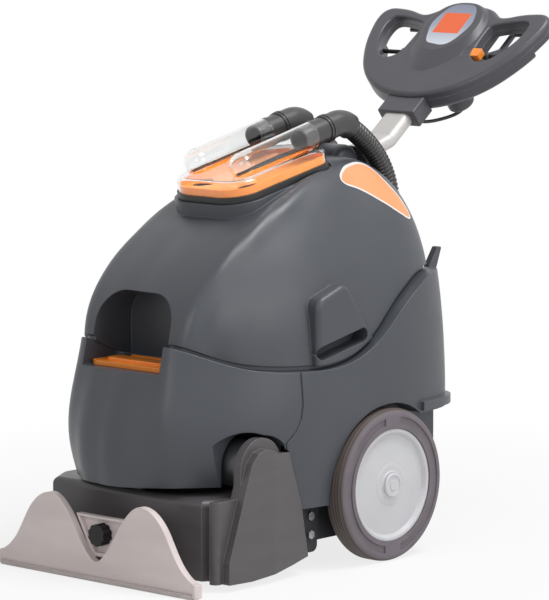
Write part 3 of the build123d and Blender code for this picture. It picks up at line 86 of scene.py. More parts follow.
def tones(tree, pattern, *stops):
    """Colour that runs through the stops (place, colour) as the pattern rises."""
    ramp = tree.nodes.new("ShaderNodeValToRGB")
    steps = ramp.color_ramp.elements
    while len(steps) < len(stops):
        steps.new(0.5)
    for step, (place, colour) in zip(steps, stops):
        step.position = place
        step.color = colour
    tree.links.new(pattern, ramp.inputs["Fac"])
    return ramp.outputs["Color"]


def span(tree, pattern, low, high, start=0.3, end=0.7):
    """Value that runs from low to high while the pattern goes from start to end."""
    reach = tree.nodes.new("ShaderNodeMapRange")
    for socket, value in (("From Min", start), ("From Max", end), ("To Min", low), ("To Max", high)):
        reach.inputs[socket].default_value = value
    tree.links.new(pattern, reach.inputs["Value"])
    return reach.outputs["Result"]


def blended(tree, share, first, second):
    """Colour that goes from the first to the second as the share rises from 0 to 1."""
    mix = tree.nodes.new("ShaderNodeMix")
    mix.data_type = "RGBA"
    tree.links.new(share, mix.inputs[0])
    for socket, colour in ((mix.inputs[6], first), (mix.inputs[7], second)):
        if isinstance(colour, tuple):
            socket.default_value = colour
        else:
            tree.links.new(colour, socket)
    return mix.outputs[2]


def rounded_normal(tree, edge):
    """Normal of the surface with its corners rounded by edge metres."""
    corner = tree.nodes.new("ShaderNodeBevel")
    corner.samples = 6
    corner.inputs["Radius"].default_value = edge
    return corner.outputs["Normal"]


def corners_painted_highlight(tree, colour, wear_and_painted_highlight, corner):
    """The colour, turning to the paler one where the rounded normal leans away from the true one: a highlight
    painted along the corners.
    """
    true = tree.nodes.new("ShaderNodeNewGeometry")
    lean = tree.nodes.new("ShaderNodeVectorMath")
    lean.operation = "DOT_PRODUCT"
    tree.links.new(true.outputs["Normal"], lean.inputs[0])
    tree.links.new(corner, lean.inputs[1])
    return blended(tree, span(tree, lean.outputs["Value"], 1.0, 0.0, 0.75, 0.985), colour, wear_and_painted_highlight)


def relief(tree, shader, pattern, depth, corner=None):
    """Bump of the given depth in metres, over the rounded corners if there are any."""
    bump = tree.nodes.new("ShaderNodeBump")
    bump.inputs["Strength"].default_value = 1.0
    bump.inputs["Distance"].default_value = depth
    tree.links.new(pattern, bump.inputs["Height"])
    if corner:
        tree.links.new(corner, bump.inputs["Normal"])
    tree.links.new(bump.outputs["Normal"], shader.inputs["Normal"])


def coat(material, *names):
    """Puts a material on the carried-over solids."""
    for name in names:
        solid = cad[name]
        solid.data.materials.clear()
        solid.data.materials.append(material)


black_coat = srgb(44, 45, 48)
powder_coat, tree, shader = new_finish("powder_coat", Roughness=0.5, Specular_IOR_Level=0.4)
corner = rounded_normal(tree, 0.0012)
skin = tones(tree, clouds(tree, 0.05, 4), (0.3, shade(black_coat, 0.8)), (0.7, shade(black_coat, 1.15)))
# The coat's corners are painted paler, as a painted highlight.
tree.links.new(corners_painted_highlight(tree, skin, shade(black_coat, 2.2), corner), shader.inputs["Base Color"])
relief(tree, shader, clouds(tree, 0.0011, 3), 0.0002, corner)
coat(powder_coat, "chassis_frame", "deck_brackets", "handle_post", "pivot_tongue")

bright_steel = srgb(168, 170, 173)
turned_steel, tree, shader = new_finish("turned_steel", Metallic=1.0, Anisotropic=0.5)
rings = clouds(tree, 0.0006, 3, stretch=(1, 0.03, 0.03))
tree.links.new(tones(tree, rings, (0.3, shade(bright_steel, 0.82)), (0.7, bright_steel)),
               shader.inputs["Base Color"])
tree.links.new(span(tree, rings, 0.25, 0.42), shader.inputs["Roughness"])
relief(tree, shader, rings, 0.00004, rounded_normal(tree, 0.0006))
coat(turned_steel, "axle", "wheel_spacers", "fill_cap_pin", "shoe_pin", "pivot_pin", "motor_shaft",
     "brush_bearings")


# Motors and pump on the chassis floor. Die-cast aluminium bodies, left as cast, so the skin is dull
# and a little pitted.
cast_grey = srgb(132, 134, 138)
cast_metal, tree, shader = new_finish("cast_metal", Metallic=0.9)
pits = clouds(tree, 0.0025, 4)
tree.links.new(tones(tree, pits, (0.25, shade(cast_grey, 0.7)), (0.6, cast_grey)),
               shader.inputs["Base Color"])
tree.links.new(span(tree, clouds(tree, 0.02, 3), 0.42, 0.6), shader.inputs["Roughness"])
relief(tree, shader, pits, 0.0003, rounded_normal(tree, 0.001))
coat(cast_metal, "brush_motor", "vacuum_motor", "solution_pump")


# Wheels. A grey rubber tyre moulded round a pale plastic hub disc, with a snap-on axle cap. The tread
# is browner than the side wall and dusty from the floor; round the wheel it has dark rings, painted
# shade standing in for the grooves between its ribs.
axle_y, axle_z, tread_r, tread_edge = -0.026, 0.132, 0.1265, 0.003
wall_grey = srgb(112, 105, 111)
tread_brown = srgb(96, 86, 83)
tyre_rubber, tree, shader = new_finish("tyre_rubber", Specular_IOR_Level=0.35)
dust = clouds(tree, 0.03, 5)
place = tree.nodes.new("ShaderNodeTexCoord")
centre = tree.nodes.new("ShaderNodeMapping")
centre.inputs["Location"].default_value = (0, -axle_y, -axle_z)
centre.inputs["Scale"].default_value = (0, 1, 1)
radius = tree.nodes.new("ShaderNodeVectorMath")
radius.operation = "LENGTH"
ribs = tree.nodes.new("ShaderNodeTexWave")
ribs.inputs["Scale"].default_value = 52
tree.links.new(place.outputs["Object"], centre.inputs["Vector"])
tree.links.new(centre.outputs["Vector"], radius.inputs[0])
tree.links.new(place.outputs["Object"], ribs.inputs["Vector"])
on_tread = span(tree, radius.outputs["Value"], 0, 1, tread_r, tread_r + tread_edge)
side_wall = tones(tree, dust, (0.3, shade(wall_grey, 0.9)), (0.72, shade(wall_grey, 1.1)))
# Dark rings on the tread: painted shade where the grooves between the ribs would be.
tread = tones(tree, ribs.outputs["Fac"], (0.1, shade(tread_brown, 0.55)), (0.45, tread_brown))
tree.links.new(blended(tree, on_tread, side_wall, tread), shader.inputs["Base Color"])
tree.links.new(span(tree, dust, 0.55, 0.7), shader.inputs["Roughness"])
relief(tree, shader, clouds(tree, 0.0016, 4), 0.0002, rounded_normal(tree, 0.0015))
coat(tyre_rubber, "tyre_right", "tyre_left")

hub_pale = srgb(200, 200, 203)
hub_plastic, tree, shader = new_finish("hub_plastic", Subsurface_Weight=0.1, Subsurface_Scale=0.008)
flow = clouds(tree, 0.04, 3, stretch=(1, 0.4, 0.4))
tree.links.new(tones(tree, flow, (0.3, shade(hub_pale, 0.95)), (0.7, shade(hub_pale, 1.03))),
               shader.inputs["Base Color"])
tree.links.new(span(tree, flow, 0.36, 0.46), shader.inputs["Roughness"])
relief(tree, shader, clouds(tree, 0.0012, 2), 0.00008, rounded_normal(tree, 0.0012))
coat(hub_plastic, "hub_right", "hub_left", "axle_caps")


# Brush roll and its drive. Nylon tufts stapled in rows round a plastic core; flanged plastic pulleys
# and a flat rubber belt run in the side cover.
def moulded_plastic(name, colour, patch, rough, grain, depth, edge, stretch=(1, 1, 1), corner_highlight=1.5, **sockets):
    """Moulded plastic: its tone drifts over patches, its gloss lies between the two roughnesses, it has
    a fine grain of the given depth, and its corners are rounded by edge metres and painted paler as a
    highlight."""
    finish, tree, shader = new_finish(name, **sockets)
    corner = rounded_normal(tree, edge)
    drift = clouds(tree, patch, 4, stretch)
    skin = tones(tree, drift, (0.3, shade(colour, 0.93)), (0.72, shade(colour, 1.06)))
    # The corners are painted paler by corner_highlight: a painted highlight.
    tree.links.new(corners_painted_highlight(tree, skin, shade(colour, corner_highlight), corner), shader.inputs["Base Color"])
    tree.links.new(span(tree, clouds(tree, patch / 3, 4), *rough), shader.inputs["Roughness"])
    relief(tree, shader, clouds(tree, grain, 3), depth, corner)
    return finish


# Its corners are painted paler as a highlight.
brush_plastic = moulded_plastic("brush_plastic", srgb(62, 64, 68), 0.02, (0.4, 0.55), 0.001, 0.0001, 0.001)
coat(brush_plastic, "brush_core", "brush_pulley", "motor_pulley", "spray_bar")


def filament_mesh(name, root, tip, thickness):
    """One tapering four-sided filament for each pair of root and tip points: four corners round the
    root at the full thickness, four round the tip at two thirds of it, joined by side faces and a cap."""
    along = tip - root
    along /= np.linalg.norm(along, axis=1, keepdims=True)
    across = np.cross(along, [1.0, 0.0, 0.0])
    across /= np.linalg.norm(across, axis=1, keepdims=True)
    other = np.cross(along, across)
    turn = np.arange(4) * np.pi / 2
    ring = across[:, None] * np.cos(turn)[:, None] + other[:, None] * np.sin(turn)[:, None]
    corners = np.concatenate([root[:, None] + ring * thickness / 2, tip[:, None] + ring * thickness / 3],
                             axis=1)
    side = np.arange(4)
    following = (side + 1) % 4
    walls = np.stack([side, following, following + 4, side + 4], axis=1)
    faces = np.concatenate([walls, [side + 4]])
    faces = (np.arange(len(root))[:, None, None] * 8 + faces).reshape(-1, 4)
    mesh = bpy.data.meshes.new(name)
    mesh.from_pydata(corners.reshape(-1, 3).tolist(), [], faces.tolist())
    mesh.update()
    return mesh


def show(name, shape, material, body=None):
    """Object at the origin with its mesh or curve and material, riding on a body of the machine."""
    piece = bpy.data.objects.new(name, shape)
    bpy.context.scene.collection.objects.link(piece)
    piece.data.materials.append(material)
    if body:
        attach(piece, body)
    return piece


brush_y, brush_z, core_r, brush_r, brush_half = -0.308, 0.062, 0.034, 0.059, 0.180
tuft_rows, row_tufts, tuft_turn, tuft_long, tuft_wide = 5, 13, 9, 0.021, 0.006
long_count, wide_count, filament = 12, 4, 0.0011
root_sink, tip_wear, tip_splay, flank_stray, row_stray = 0.0005, 0.0006, 0.05, 0.0003, 0.0004
row, index, along, wide = np.meshgrid(np.arange(tuft_rows), np.arange(row_tufts), np.arange(long_count),
                                      np.arange(wide_count), indexing="ij")
angle = np.radians(360 * row / tuft_rows + tuft_turn * abs(index - row_tufts // 2)).ravel()
centre_x = (-brush_half + (index + 0.5) * 2 * brush_half / row_tufts).ravel()
shift_x = ((along + 0.5) / long_count - 0.5).ravel() * tuft_long
shift_w = ((wide + 0.5) / wide_count - 0.5).ravel() * tuft_wide
jitter = np.random.default_rng(7).normal(0, 1, (3, angle.size))
out = np.stack([np.zeros_like(angle), -np.sin(angle), np.cos(angle)], axis=1)
flank = np.stack([np.zeros_like(angle), np.cos(angle), np.sin(angle)], axis=1)
middle = np.stack([centre_x + shift_x, np.full_like(angle, brush_y), np.full_like(angle, brush_z)], axis=1)
root = middle + out * (core_r - root_sink) + flank * shift_w[:, None]
reach = brush_r - tip_wear - abs(jitter[0]) * tip_wear
sideways = shift_w * (1 + tip_splay) + jitter[1] * flank_stray
tip = middle + out * reach[:, None] + flank * sideways[:, None]
tip[:, 0] += shift_x * tip_splay + jitter[2] * row_stray
nylon_blue = srgb(44, 54, 78)
nylon, tree, shader = new_finish("nylon", Roughness=0.4)
streaks = clouds(tree, 0.004, 2)
tree.links.new(tones(tree, streaks, (0.3, shade(nylon_blue, 0.7)), (0.7, shade(nylon_blue, 1.3))),
               shader.inputs["Base Color"])
tufts = show("brush_tufts", filament_mesh("brush_tufts", root, tip, filament), nylon, "brush")
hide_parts("brush_bristles")

soft_black = srgb(30, 30, 31)
black_rubber, tree, shader = new_finish("black_rubber", Specular_IOR_Level=0.5)
bloom = clouds(tree, 0.025, 4)
tree.links.new(tones(tree, bloom, (0.3, shade(soft_black, 0.8)), (0.75, shade(soft_black, 1.5))),
               shader.inputs["Base Color"])
tree.links.new(span(tree, bloom, 0.34, 0.46), shader.inputs["Roughness"])
relief(tree, shader, clouds(tree, 0.001, 3), 0.0001, rounded_normal(tree, 0.001))
coat(black_rubber, "drive_belt", "lid_gasket")


# Brush deck and side covers. Dark grey moulded plastic with a satin stipple and corners painted paler
# as a highlight; the bolts of its steel straps and the cover screws are zinc plated.
# Its corners are painted paler as a highlight.
deck_plastic = moulded_plastic("deck_plastic", srgb(84, 81, 83), 0.03, (0.32, 0.42), 0.0011, 0.0001, 0.002,
                               stretch=(0.35, 0.35, 1.4), corner_highlight=2.6, Specular_IOR_Level=0.45)
coat(deck_plastic, "brush_deck", "belt_cover", "bearing_cover")

zinc_grey = srgb(186, 188, 190)
zinc_plate, tree, shader = new_finish("zinc_plate", Metallic=1.0)
spangle = tree.nodes.new("ShaderNodeTexVoronoi")
spangle.inputs["Scale"].default_value = 260
place = tree.nodes.new("ShaderNodeTexCoord")
tree.links.new(place.outputs["Object"], spangle.inputs["Vector"])
tree.links.new(tones(tree, spangle.outputs["Distance"], (0.1, zinc_grey), (0.7, shade(zinc_grey, 0.75))),
               shader.inputs["Base Color"])
tree.links.new(span(tree, spangle.outputs["Distance"], 0.28, 0.45), shader.inputs["Roughness"])
relief(tree, shader, clouds(tree, 0.0008, 3), 0.00005, rounded_normal(tree, 0.0006))
coat(zinc_plate, "bracket_bolts", "cover_screws")


# Vacuum shoe. A pale grey moulded shoe and its yoke, with a worn strip along the foot, a small block that
# closes the foot at each end, and a black lobed knob on the stud.
# Its corners are painted paler as a highlight.
shoe_plastic = moulded_plastic("shoe_plastic", srgb(218, 206, 204), 0.05, (0.36, 0.46), 0.0012, 0.00008,
                               0.0012, stretch=(0.3, 1, 1.2))
coat(shoe_plastic, "shoe_yoke")

shoe_front, shoe_back, shoe_foot, shoe_wall = -0.495, -0.481, 0.009, 0.005
shoe_edge, shoe_crease = 0.0012, math.radians(40)
slot_front, slot_back, slot_end, slot_fade, slot_lip = -0.490, -0.486, 0.220, 0.0025, 0.0003
shoe_knots = np.array([(0, 0.034, 0), (0.029, 0.058, 1.25), (0.063, 0.108, 1.25), (0.106, 0.139, 0),
                       (0.154, 0.112, -1.2), (0.191, 0.054, -1.25), (0.225, 0.027, -0.4)])


def ring_faces(rings, around):
    """Faces of a grid of rings, each ring joined to the next one all the way round."""
    ring, place = np.meshgrid(np.arange(rings - 1), np.arange(around), indexing="ij")
    following = (place + 1) % around
    return np.stack([ring * around + place, ring * around + following, (ring + 1) * around + following,
                     (ring + 1) * around + place], axis=-1).reshape(-1, 4)


turned_over = [0, 3, 2, 1]


def shoe_mesh(name, knots, stations=181, edge_steps=5):
    """Upright plate under two humps: the height over each place is a run of cubic curves through the knots
    (place, height, slope), alike on both sides of the middle. A section has two rounded top edges and a
    suction slot from below, which is closed towards the ends."""
    place, height, slope = knots.T
    across = np.linspace(-place[-1], place[-1], stations)
    far = abs(across)
    knot = np.clip(np.searchsorted(place, far, side="right") - 1, 0, len(place) - 2)
    width = place[knot + 1] - place[knot]
    t = (far - place[knot]) / width
    top = ((1 + 2 * t) * (1 - t) ** 2 * height[knot] + t * (1 - t) ** 2 * width * slope[knot]
           + (3 - 2 * t) * t ** 2 * height[knot + 1] + (t - 1) * t ** 2 * width * slope[knot + 1])
    lean = np.hypot(1, np.gradient(top, across))[:, None]
    turn = np.linspace(0, np.pi / 2, edge_steps)
    inward = shoe_edge * (1 - np.cos(turn))
    down = shoe_edge * (1 - np.sin(turn))
    depth = np.concatenate([[shoe_front], shoe_front + inward, (shoe_back - inward)[::-1],
                            [shoe_back, slot_back, slot_back, slot_front, slot_front]])
    crest = top[:, None] - lean * np.concatenate([down, down[::-1]])
    foot = np.full((stations, 1), shoe_foot)
    open_share = np.clip((slot_end - far) / slot_fade, 0, 1)
    ceiling = (shoe_foot + slot_lip + (top - shoe_wall - shoe_foot) * open_share)[:, None]
    rise = np.concatenate([foot, crest, foot, foot, ceiling, ceiling, foot], axis=1)
    count = len(depth)
    points = np.stack(np.broadcast_arrays(across[:, None], depth[None], rise), axis=-1).reshape(-1, 3)
    quads = ring_faces(stations, count)[:, turned_over]
    last = (stations - 1) * count
    ends = [list(range(count)), list(range(last + count - 1, last - 1, -1))]
    mesh = bpy.data.meshes.new(name)
    mesh.from_pydata(points.tolist(), [], quads.tolist() + ends)
    mesh.polygons.foreach_set("use_smooth", [True] * len(mesh.polygons))
    mesh.set_sharp_from_angle(angle=shoe_crease)
    mesh.update()
    return mesh


shoe_shell = show("shoe_shell", shoe_mesh("shoe_shell", shoe_knots), shoe_plastic, "shoe")
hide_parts("vacuum_shoe")


def rounded_block(name, low, high, corner, levels=12, around=48):
    """Block with rounded edges, on a grid of turn and height: each point is the inner corner that lies on
    its direction's side of the block, moved out along the direction by the corner's radius."""
    low, high = np.array(low), np.array(high)
    height, turn = np.meshgrid((np.arange(levels) + 0.5) * np.pi / levels - np.pi / 2,
                               (np.arange(around) + 0.5) * 2 * np.pi / around, indexing="ij")
    out = np.stack([np.cos(height) * np.cos(turn), np.cos(height) * np.sin(turn), np.sin(height)], axis=-1)
    points = (low + high) / 2 + np.sign(out) * ((high - low) / 2 - corner) + out * corner
    ends = [list(range(around - 1, -1, -1)), list(range((levels - 1) * around, levels * around))]
    mesh = bpy.data.meshes.new(name)
    mesh.from_pydata(points.reshape(-1, 3).tolist(), [], ring_faces(levels, around).tolist() + ends)
    mesh.update()
    return mesh


end_x, end_thick, end_corner = 0.2275, 0.008, 0.0022
end_front, end_back, end_foot, end_top = -0.497, -0.479, 0.002, 0.0262
for name, middle_x in (("shoe_end_right", end_x), ("shoe_end_left", -end_x)):
    low = (middle_x - end_thick / 2, end_front, end_foot)
    high = (middle_x + end_thick / 2, end_back, end_top)
    end_block = show(name, rounded_block(name, low, high, end_corner), shoe_plastic, "shoe")

strip_pale = srgb(200, 190, 188)
strip_plastic, tree, shader = new_finish("strip_plastic")
drag = clouds(tree, 0.004, 4, stretch=(0.1, 1, 1))
tree.links.new(tones(tree, drag, (0.3, shade(strip_pale, 0.85)), (0.7, shade(strip_pale, 1.08))),
               shader.inputs["Base Color"])
tree.links.new(span(tree, drag, 0.45, 0.62), shader.inputs["Roughness"])
relief(tree, shader, drag, 0.0001, rounded_normal(tree, 0.001))
coat(strip_plastic, "shoe_strip")

# Its corners are painted paler as a highlight.
knob_plastic = moulded_plastic("knob_plastic", srgb(16, 16, 17), 0.01, (0.4, 0.5), 0.0009, 0.0001, 0.001,
                               Specular_IOR_Level=0.3)
coat(knob_plastic, "shoe_knob", "lever_shafts", "hose_ports")


# Body mouldings. Rotationally moulded grey plastic with a fine orange-peel skin: the solution tank in
# front, the rear housing over the wheels and the domed recovery tank on top.
# Its corners are painted paler as a highlight.
body_plastic = moulded_plastic("body_plastic", srgb(69, 72, 78), 0.16, (0.34, 0.42), 0.0018, 0.00008, 0.0025,
                               corner_highlight=1.9, Specular_IOR_Level=0.45)
coat(body_plastic, "solution_tank", "rear_housing", "recovery_tank")

# Its corners are painted paler as a highlight.
fitting_plastic = moulded_plastic("fitting_plastic", srgb(74, 74, 80), 0.02, (0.34, 0.44), 0.0009, 0.0001,
                                  0.0015, corner_highlight=2.4, Specular_IOR_Level=0.45)
coat(fitting_plastic, "cord_hook", "gland_box", "column_clamp")


# Fill cap, lock button and lid tray. Glossy orange plastic, moulded through in its colour, that lets a
# little light into it.
cap_orange = srgb(255, 146, 40)
orange_plastic, tree, shader = new_finish("orange_plastic", Coat_Weight=0.2, Coat_Roughness=0.15,
                                          Subsurface_Weight=0.15, Subsurface_Scale=0.004)
pigment = clouds(tree, 0.02, 3)
tree.links.new(tones(tree, pigment, (0.3, shade(cap_orange, 0.92)), (0.72, shade(cap_orange, 1.05))),
               shader.inputs["Base Color"])
tree.links.new(span(tree, clouds(tree, 0.008, 3), 0.28, 0.4), shader.inputs["Roughness"])
relief(tree, shader, clouds(tree, 0.001, 2), 0.00006, rounded_normal(tree, 0.0012))
coat(orange_plastic, "fill_cap", "lock_button", "lid_tray")


# Shoulder field. A leaf-shaped film on the right shoulder of the recovery tank, bare orange with a pale
# edging, stuck down so that it follows the tank's skin.
leaf_line = np.array([(-12, 647), (-5, 654), (9, 662), (28, 667.5), (49, 671), (66, 671.5), (82, 665),
                      (91, 652), (98, 638), (107, 624), (117, 607), (125, 589), (125, 573), (110, 574),
                      (95, 582), (76, 594), (62, 604), (48, 613), (35, 622), (22, 629), (6, 635),
                      (-7, 640)]) / 1000
leaf_edging, leaf_thick, leaf_start_x = 0.0032, 0.0005, 0.4


def leaf_mesh(name, line, edging, around=240, kept_waves=10, steps=14, inmost=0.04):
    """Film in rings round its middle: the closed line is smoothed by keeping its first waves, moved in
    along its own normal by the edging, and drawn in towards the middle in even steps. It is set out flat,
    beside the machine."""
    way = np.concatenate([line, line[:1]])
    run = np.concatenate([[0.0], np.cumsum(np.linalg.norm(np.diff(way, axis=0), axis=1))])
    even = np.linspace(0, run[-1], around, endpoint=False)
    waves = np.fft.fft(np.interp(even, run, way[:, 0]) + 1j * np.interp(even, run, way[:, 1]))
    waves[kept_waves + 1:-kept_waves] = 0
    outer = np.fft.ifft(waves)
    heading = np.roll(outer, -1) - np.roll(outer, 1)
    inner = outer - 1j * edging * heading / abs(heading)
    middle = inner.mean()
    share = np.linspace(1, inmost, steps)[:, None]
    rings = np.concatenate([outer[None], middle + share * (inner - middle)])
    flat = np.append(rings.ravel(), middle)
    points = np.stack([np.full(len(flat), leaf_start_x), flat.real, flat.imag], axis=1)
    quads = ring_faces(len(rings), around)[:, turned_over]
    last = (len(rings) - 1) * around + np.arange(around)
    fan = np.stack([last, np.full(around, len(flat) - 1), np.roll(last, -1)], axis=1)
    mesh = bpy.data.meshes.new(name)
    mesh.from_pydata(points.tolist(), [], quads.tolist() + fan.tolist())
    count = len(mesh.polygons)
    mesh.polygons.foreach_set("material_index", (np.arange(count) < around).astype(int))
    mesh.polygons.foreach_set("use_smooth", [True] * count)
    mesh.update()
    return mesh


def stuck_on(piece, node, lift):
    """Lays a film on a solid: each point moves along X until it is the given lift above the solid."""
    wrap = piece.modifiers.new("stuck_on", "SHRINKWRAP")
    wrap.target = cad[node]
    wrap.wrap_method = "PROJECT"
    wrap.use_project_x = True
    wrap.use_positive_direction = False
    wrap.use_negative_direction = True
    wrap.wrap_mode = "ABOVE_SURFACE"
    wrap.offset = lift
    laid = bpy.data.meshes.new_from_object(piece.evaluated_get(bpy.context.evaluated_depsgraph_get()))
    piece.modifiers.clear()
    piece.data = laid


def film(name, colour):
    """Printed film: a faint speckle in the colour and a smooth, slightly uneven gloss."""
    finish, tree, shader = new_finish(name, Coat_Weight=0.15, Coat_Roughness=0.2)
    speckle = clouds(tree, 0.0012, 2)
    tree.links.new(tones(tree, speckle, (0.3, shade(colour, 0.96)), (0.7, shade(colour, 1.03))),
                   shader.inputs["Base Color"])
    tree.links.new(span(tree, clouds(tree, 0.02, 3), 0.34, 0.44), shader.inputs["Roughness"])
    return finish


leaf = show("shoulder_field", leaf_mesh("shoulder_field", leaf_line, leaf_edging),
            film("field_orange", srgb(240, 156, 104)), "machine")
leaf.data.materials.append(film("field_edging", srgb(226, 222, 222)))
stuck_on(leaf, "recovery_tank", leaf_thick)


# Lid. A clear moulded cover with two tubular domes, thin enough to throw hardly any shadow, stands on a
# black gasket over the orange tray. Black moulded cuffs and elbows lead its tubes over to the hoses.
clear_tint = srgb(249, 250, 250)
clear_plastic, tree, shader = new_finish("clear_plastic", Transmission_Weight=1.0, IOR=1.46)
haze = clouds(tree, 0.05, 4)
tree.links.new(tones(tree, haze, (0.3, shade(clear_tint, 0.98)), (0.7, clear_tint)),
               shader.inputs["Base Color"])
tree.links.new(span(tree, haze, 0.01, 0.04), shader.inputs["Roughness"])
rays = tree.nodes.new("ShaderNodeLightPath")
thin_wall = tree.nodes.new("ShaderNodeBsdfTransparent")
thin_wall.inputs["Color"].default_value = (0.85, 0.85, 0.85, 1)
choose = tree.nodes.new("ShaderNodeMixShader")
tree.links.new(rays.outputs["Is Shadow Ray"], choose.inputs["Fac"])
tree.links.new(shader.outputs[0], choose.inputs[1])
tree.links.new(thin_wall.outputs[0], choose.inputs[2])
tree.links.new(choose.outputs[0], tree.nodes["Material Output"].inputs["Surface"])
coat(clear_plastic, "lid_dome")

# Its corners are painted paler as a highlight.
elbow_plastic = moulded_plastic("elbow_plastic", srgb(46, 44, 44), 0.02, (0.32, 0.38), 0.002, 0.00002, 0.0008,
                                corner_highlight=1.3, Specular_IOR_Level=0.7)
coat(elbow_plastic, "lid_cuffs", "hose_elbow_right", "hose_elbow_left")


# Suction hoses. Black ribbed rubber hose, pushed into the elbows at the lid and into a collar on the
# rear shelf.
hose_r, hose_root_r, rib_pitch = 0.019, 0.0168, 0.0075
hose_route = [(0.0735, 0.7358), (0.196, 0.6747), (0.196, 0.475), (0.196, 0.404)]


def route_curve(name, points, steps):
    """Curve of one smooth spline that has the route's points as its control points."""
    line = bpy.data.curves.new(name, "CURVE")
    line.dimensions = "3D"
    line.resolution_u = steps
    spline = line.splines.new("NURBS")
    spline.points.add(len(points) - 1)
    spline.points.foreach_set("co", np.array([(*point, 1.0) for point in points], float).ravel())
    spline.order_u = 3
    spline.use_endpoint_u = True
    return line


def route_points(name, points):
    """Points along the route's curve, read from its mesh."""
    holder = bpy.data.objects.new(name, route_curve(name, points, 60))
    mesh = bpy.data.meshes.new_from_object(holder)
    found = np.empty(len(mesh.vertices) * 3)
    mesh.vertices.foreach_get("co", found)
    bpy.data.objects.remove(holder)
    bpy.data.meshes.remove(mesh)
    return found.reshape(-1, 3)


def ribbed_mesh(name, path, pitch, outer, root, sides=40, rib_steps=10):
    """Tube round the path, cut square at both ends: its radius rises from the root to the crest and
    back once in each pitch, as a flattened sine of the distance along the path. The rise is kept on the
    mesh as the attribute crest, from 0 to 1."""
    step = np.linalg.norm(np.diff(path, axis=0), axis=1)
    run = np.concatenate([[0.0], np.cumsum(step)])
    ribs = round(run[-1] / pitch)
    station = np.linspace(0, run[-1], ribs * rib_steps + 1)
    centre = np.stack([np.interp(station, run, path[:, axis]) for axis in range(3)], axis=1)
    along = np.gradient(centre, axis=0)
    along /= np.linalg.norm(along, axis=1, keepdims=True)
    across = np.tile([1.0, 0.0, 0.0], (len(station), 1))
    other = np.cross(along, across)
    crest = 0.5 - 0.5 * np.cos(2 * np.pi * np.arange(len(station)) / rib_steps)
    radius = root + (outer - root) * crest ** 0.6
    turn = np.linspace(0, 2 * np.pi, sides, endpoint=False)
    wheel = across[:, None] * np.cos(turn)[:, None] + other[:, None] * np.sin(turn)[:, None]
    points = (centre[:, None] + wheel * radius[:, None, None]).reshape(-1, 3)
    last = (len(station) - 1) * sides
    ends = [list(range(sides - 1, -1, -1)), list(range(last, last + sides))]
    mesh = bpy.data.meshes.new(name)
    mesh.from_pydata(points.tolist(), [], ring_faces(len(station), sides).tolist() + ends)
    mesh.polygons.foreach_set("use_smooth", [True] * len(mesh.polygons))
    mesh.attributes.new("crest", "FLOAT", "POINT").data.foreach_set("value", np.repeat(crest, sides))
    mesh.update()
    return mesh, run[-1]


# The grooves between the ribs are painted near black as shade; the crests keep the rubber's own tone.
hose_black, groove_painted_shade = srgb(48, 45, 44), srgb(14, 13, 13)
hose_rubber, tree, shader = new_finish("hose_rubber", Specular_IOR_Level=0.6)
rise = tree.nodes.new("ShaderNodeAttribute")
rise.attribute_name = "crest"
wear_and_painted_highlight = clouds(tree, 0.02, 4)
crest_tone = tones(tree, wear_and_painted_highlight, (0.3, shade(hose_black, 0.85)), (0.72, shade(hose_black, 1.25)))
on_crest = span(tree, rise.outputs["Fac"], 0, 1, 0.3, 0.8)
tree.links.new(blended(tree, on_crest, groove_painted_shade, crest_tone), shader.inputs["Base Color"])
tree.links.new(span(tree, wear_and_painted_highlight, 0.24, 0.34), shader.inputs["Roughness"])
relief(tree, shader, clouds(tree, 0.0008, 2), 0.00005)

for side, tube_x in (("right", 0.053), ("left", -0.053)):
    path = route_points("hose_line", [(tube_x, y, z) for y, z in hose_route])
    mesh, length = ribbed_mesh("suction_hose_" + side, path, rib_pitch, hose_r, hose_root_r)
    hose = show("suction_hose_" + side, mesh, hose_rubber)
    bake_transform(hose)
    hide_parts("hose_" + side)


# Handle. Two lengths of light metal column, bead blasted, with a grey two-shell head on a clamp and two
# squeeze levers.
column_silver = srgb(200, 197, 195)
blasted_metal, tree, shader = new_finish("blasted_metal", Metallic=0.35)
beads = clouds(tree, 0.0009, 3)
tree.links.new(tones(tree, clouds(tree, 0.03, 3), (0.3, shade(column_silver, 0.94)), (0.72, column_silver)),
               shader.inputs["Base Color"])
tree.links.new(span(tree, beads, 0.4, 0.52), shader.inputs["Roughness"])
relief(tree, shader, beads, 0.00006, rounded_normal(tree, 0.0015))
coat(blasted_metal, "column_lower", "column_upper")

# Its corners are painted paler as a highlight.
head_plastic = moulded_plastic("head_plastic", srgb(72, 71, 77), 0.06, (0.32, 0.4), 0.0011, 0.00008, 0.003,
                               corner_highlight=2.2, Specular_IOR_Level=0.45)
coat(head_plastic, "head_upper", "head_lower", "switch_lever_right", "switch_lever_left")


# Head panel. A smooth silver-blue film in the head's pod, paler towards the front, with a plain orange
# field in its middle.
head_lean, head_y, head_z = math.radians(39), 0.293, 0.7835
field_half, field_front, field_back = 0.0302, 0.1505, 0.2045
panel_film, tree, shader = new_finish("panel_film", Metallic=0.15, Coat_Weight=0.2, Coat_Roughness=0.12)
place = tree.nodes.new("ShaderNodeTexCoord")
level = tree.nodes.new("ShaderNodeMapping")
level.vector_type = "TEXTURE"
level.inputs["Location"].default_value = (0, head_y, head_z)
level.inputs["Rotation"].default_value = (head_lean, 0, 0)
parts = tree.nodes.new("ShaderNodeSeparateXYZ")
tree.links.new(place.outputs["Object"], level.inputs["Vector"])
tree.links.new(level.outputs["Vector"], parts.inputs["Vector"])


def inside(tree, value, low, high):
    """Share that is 1 between the two limits and 0 outside them, over a tenth of a millimetre."""
    middle = tree.nodes.new("ShaderNodeMath")
    middle.operation = "SUBTRACT"
    middle.inputs[1].default_value = (low + high) / 2
    away = tree.nodes.new("ShaderNodeMath")
    away.operation = "ABSOLUTE"
    tree.links.new(value, middle.inputs[0])
    tree.links.new(middle.outputs[0], away.inputs[0])
    half = (high - low) / 2
    return span(tree, away.outputs[0], 1, 0, half, half + 0.0001)


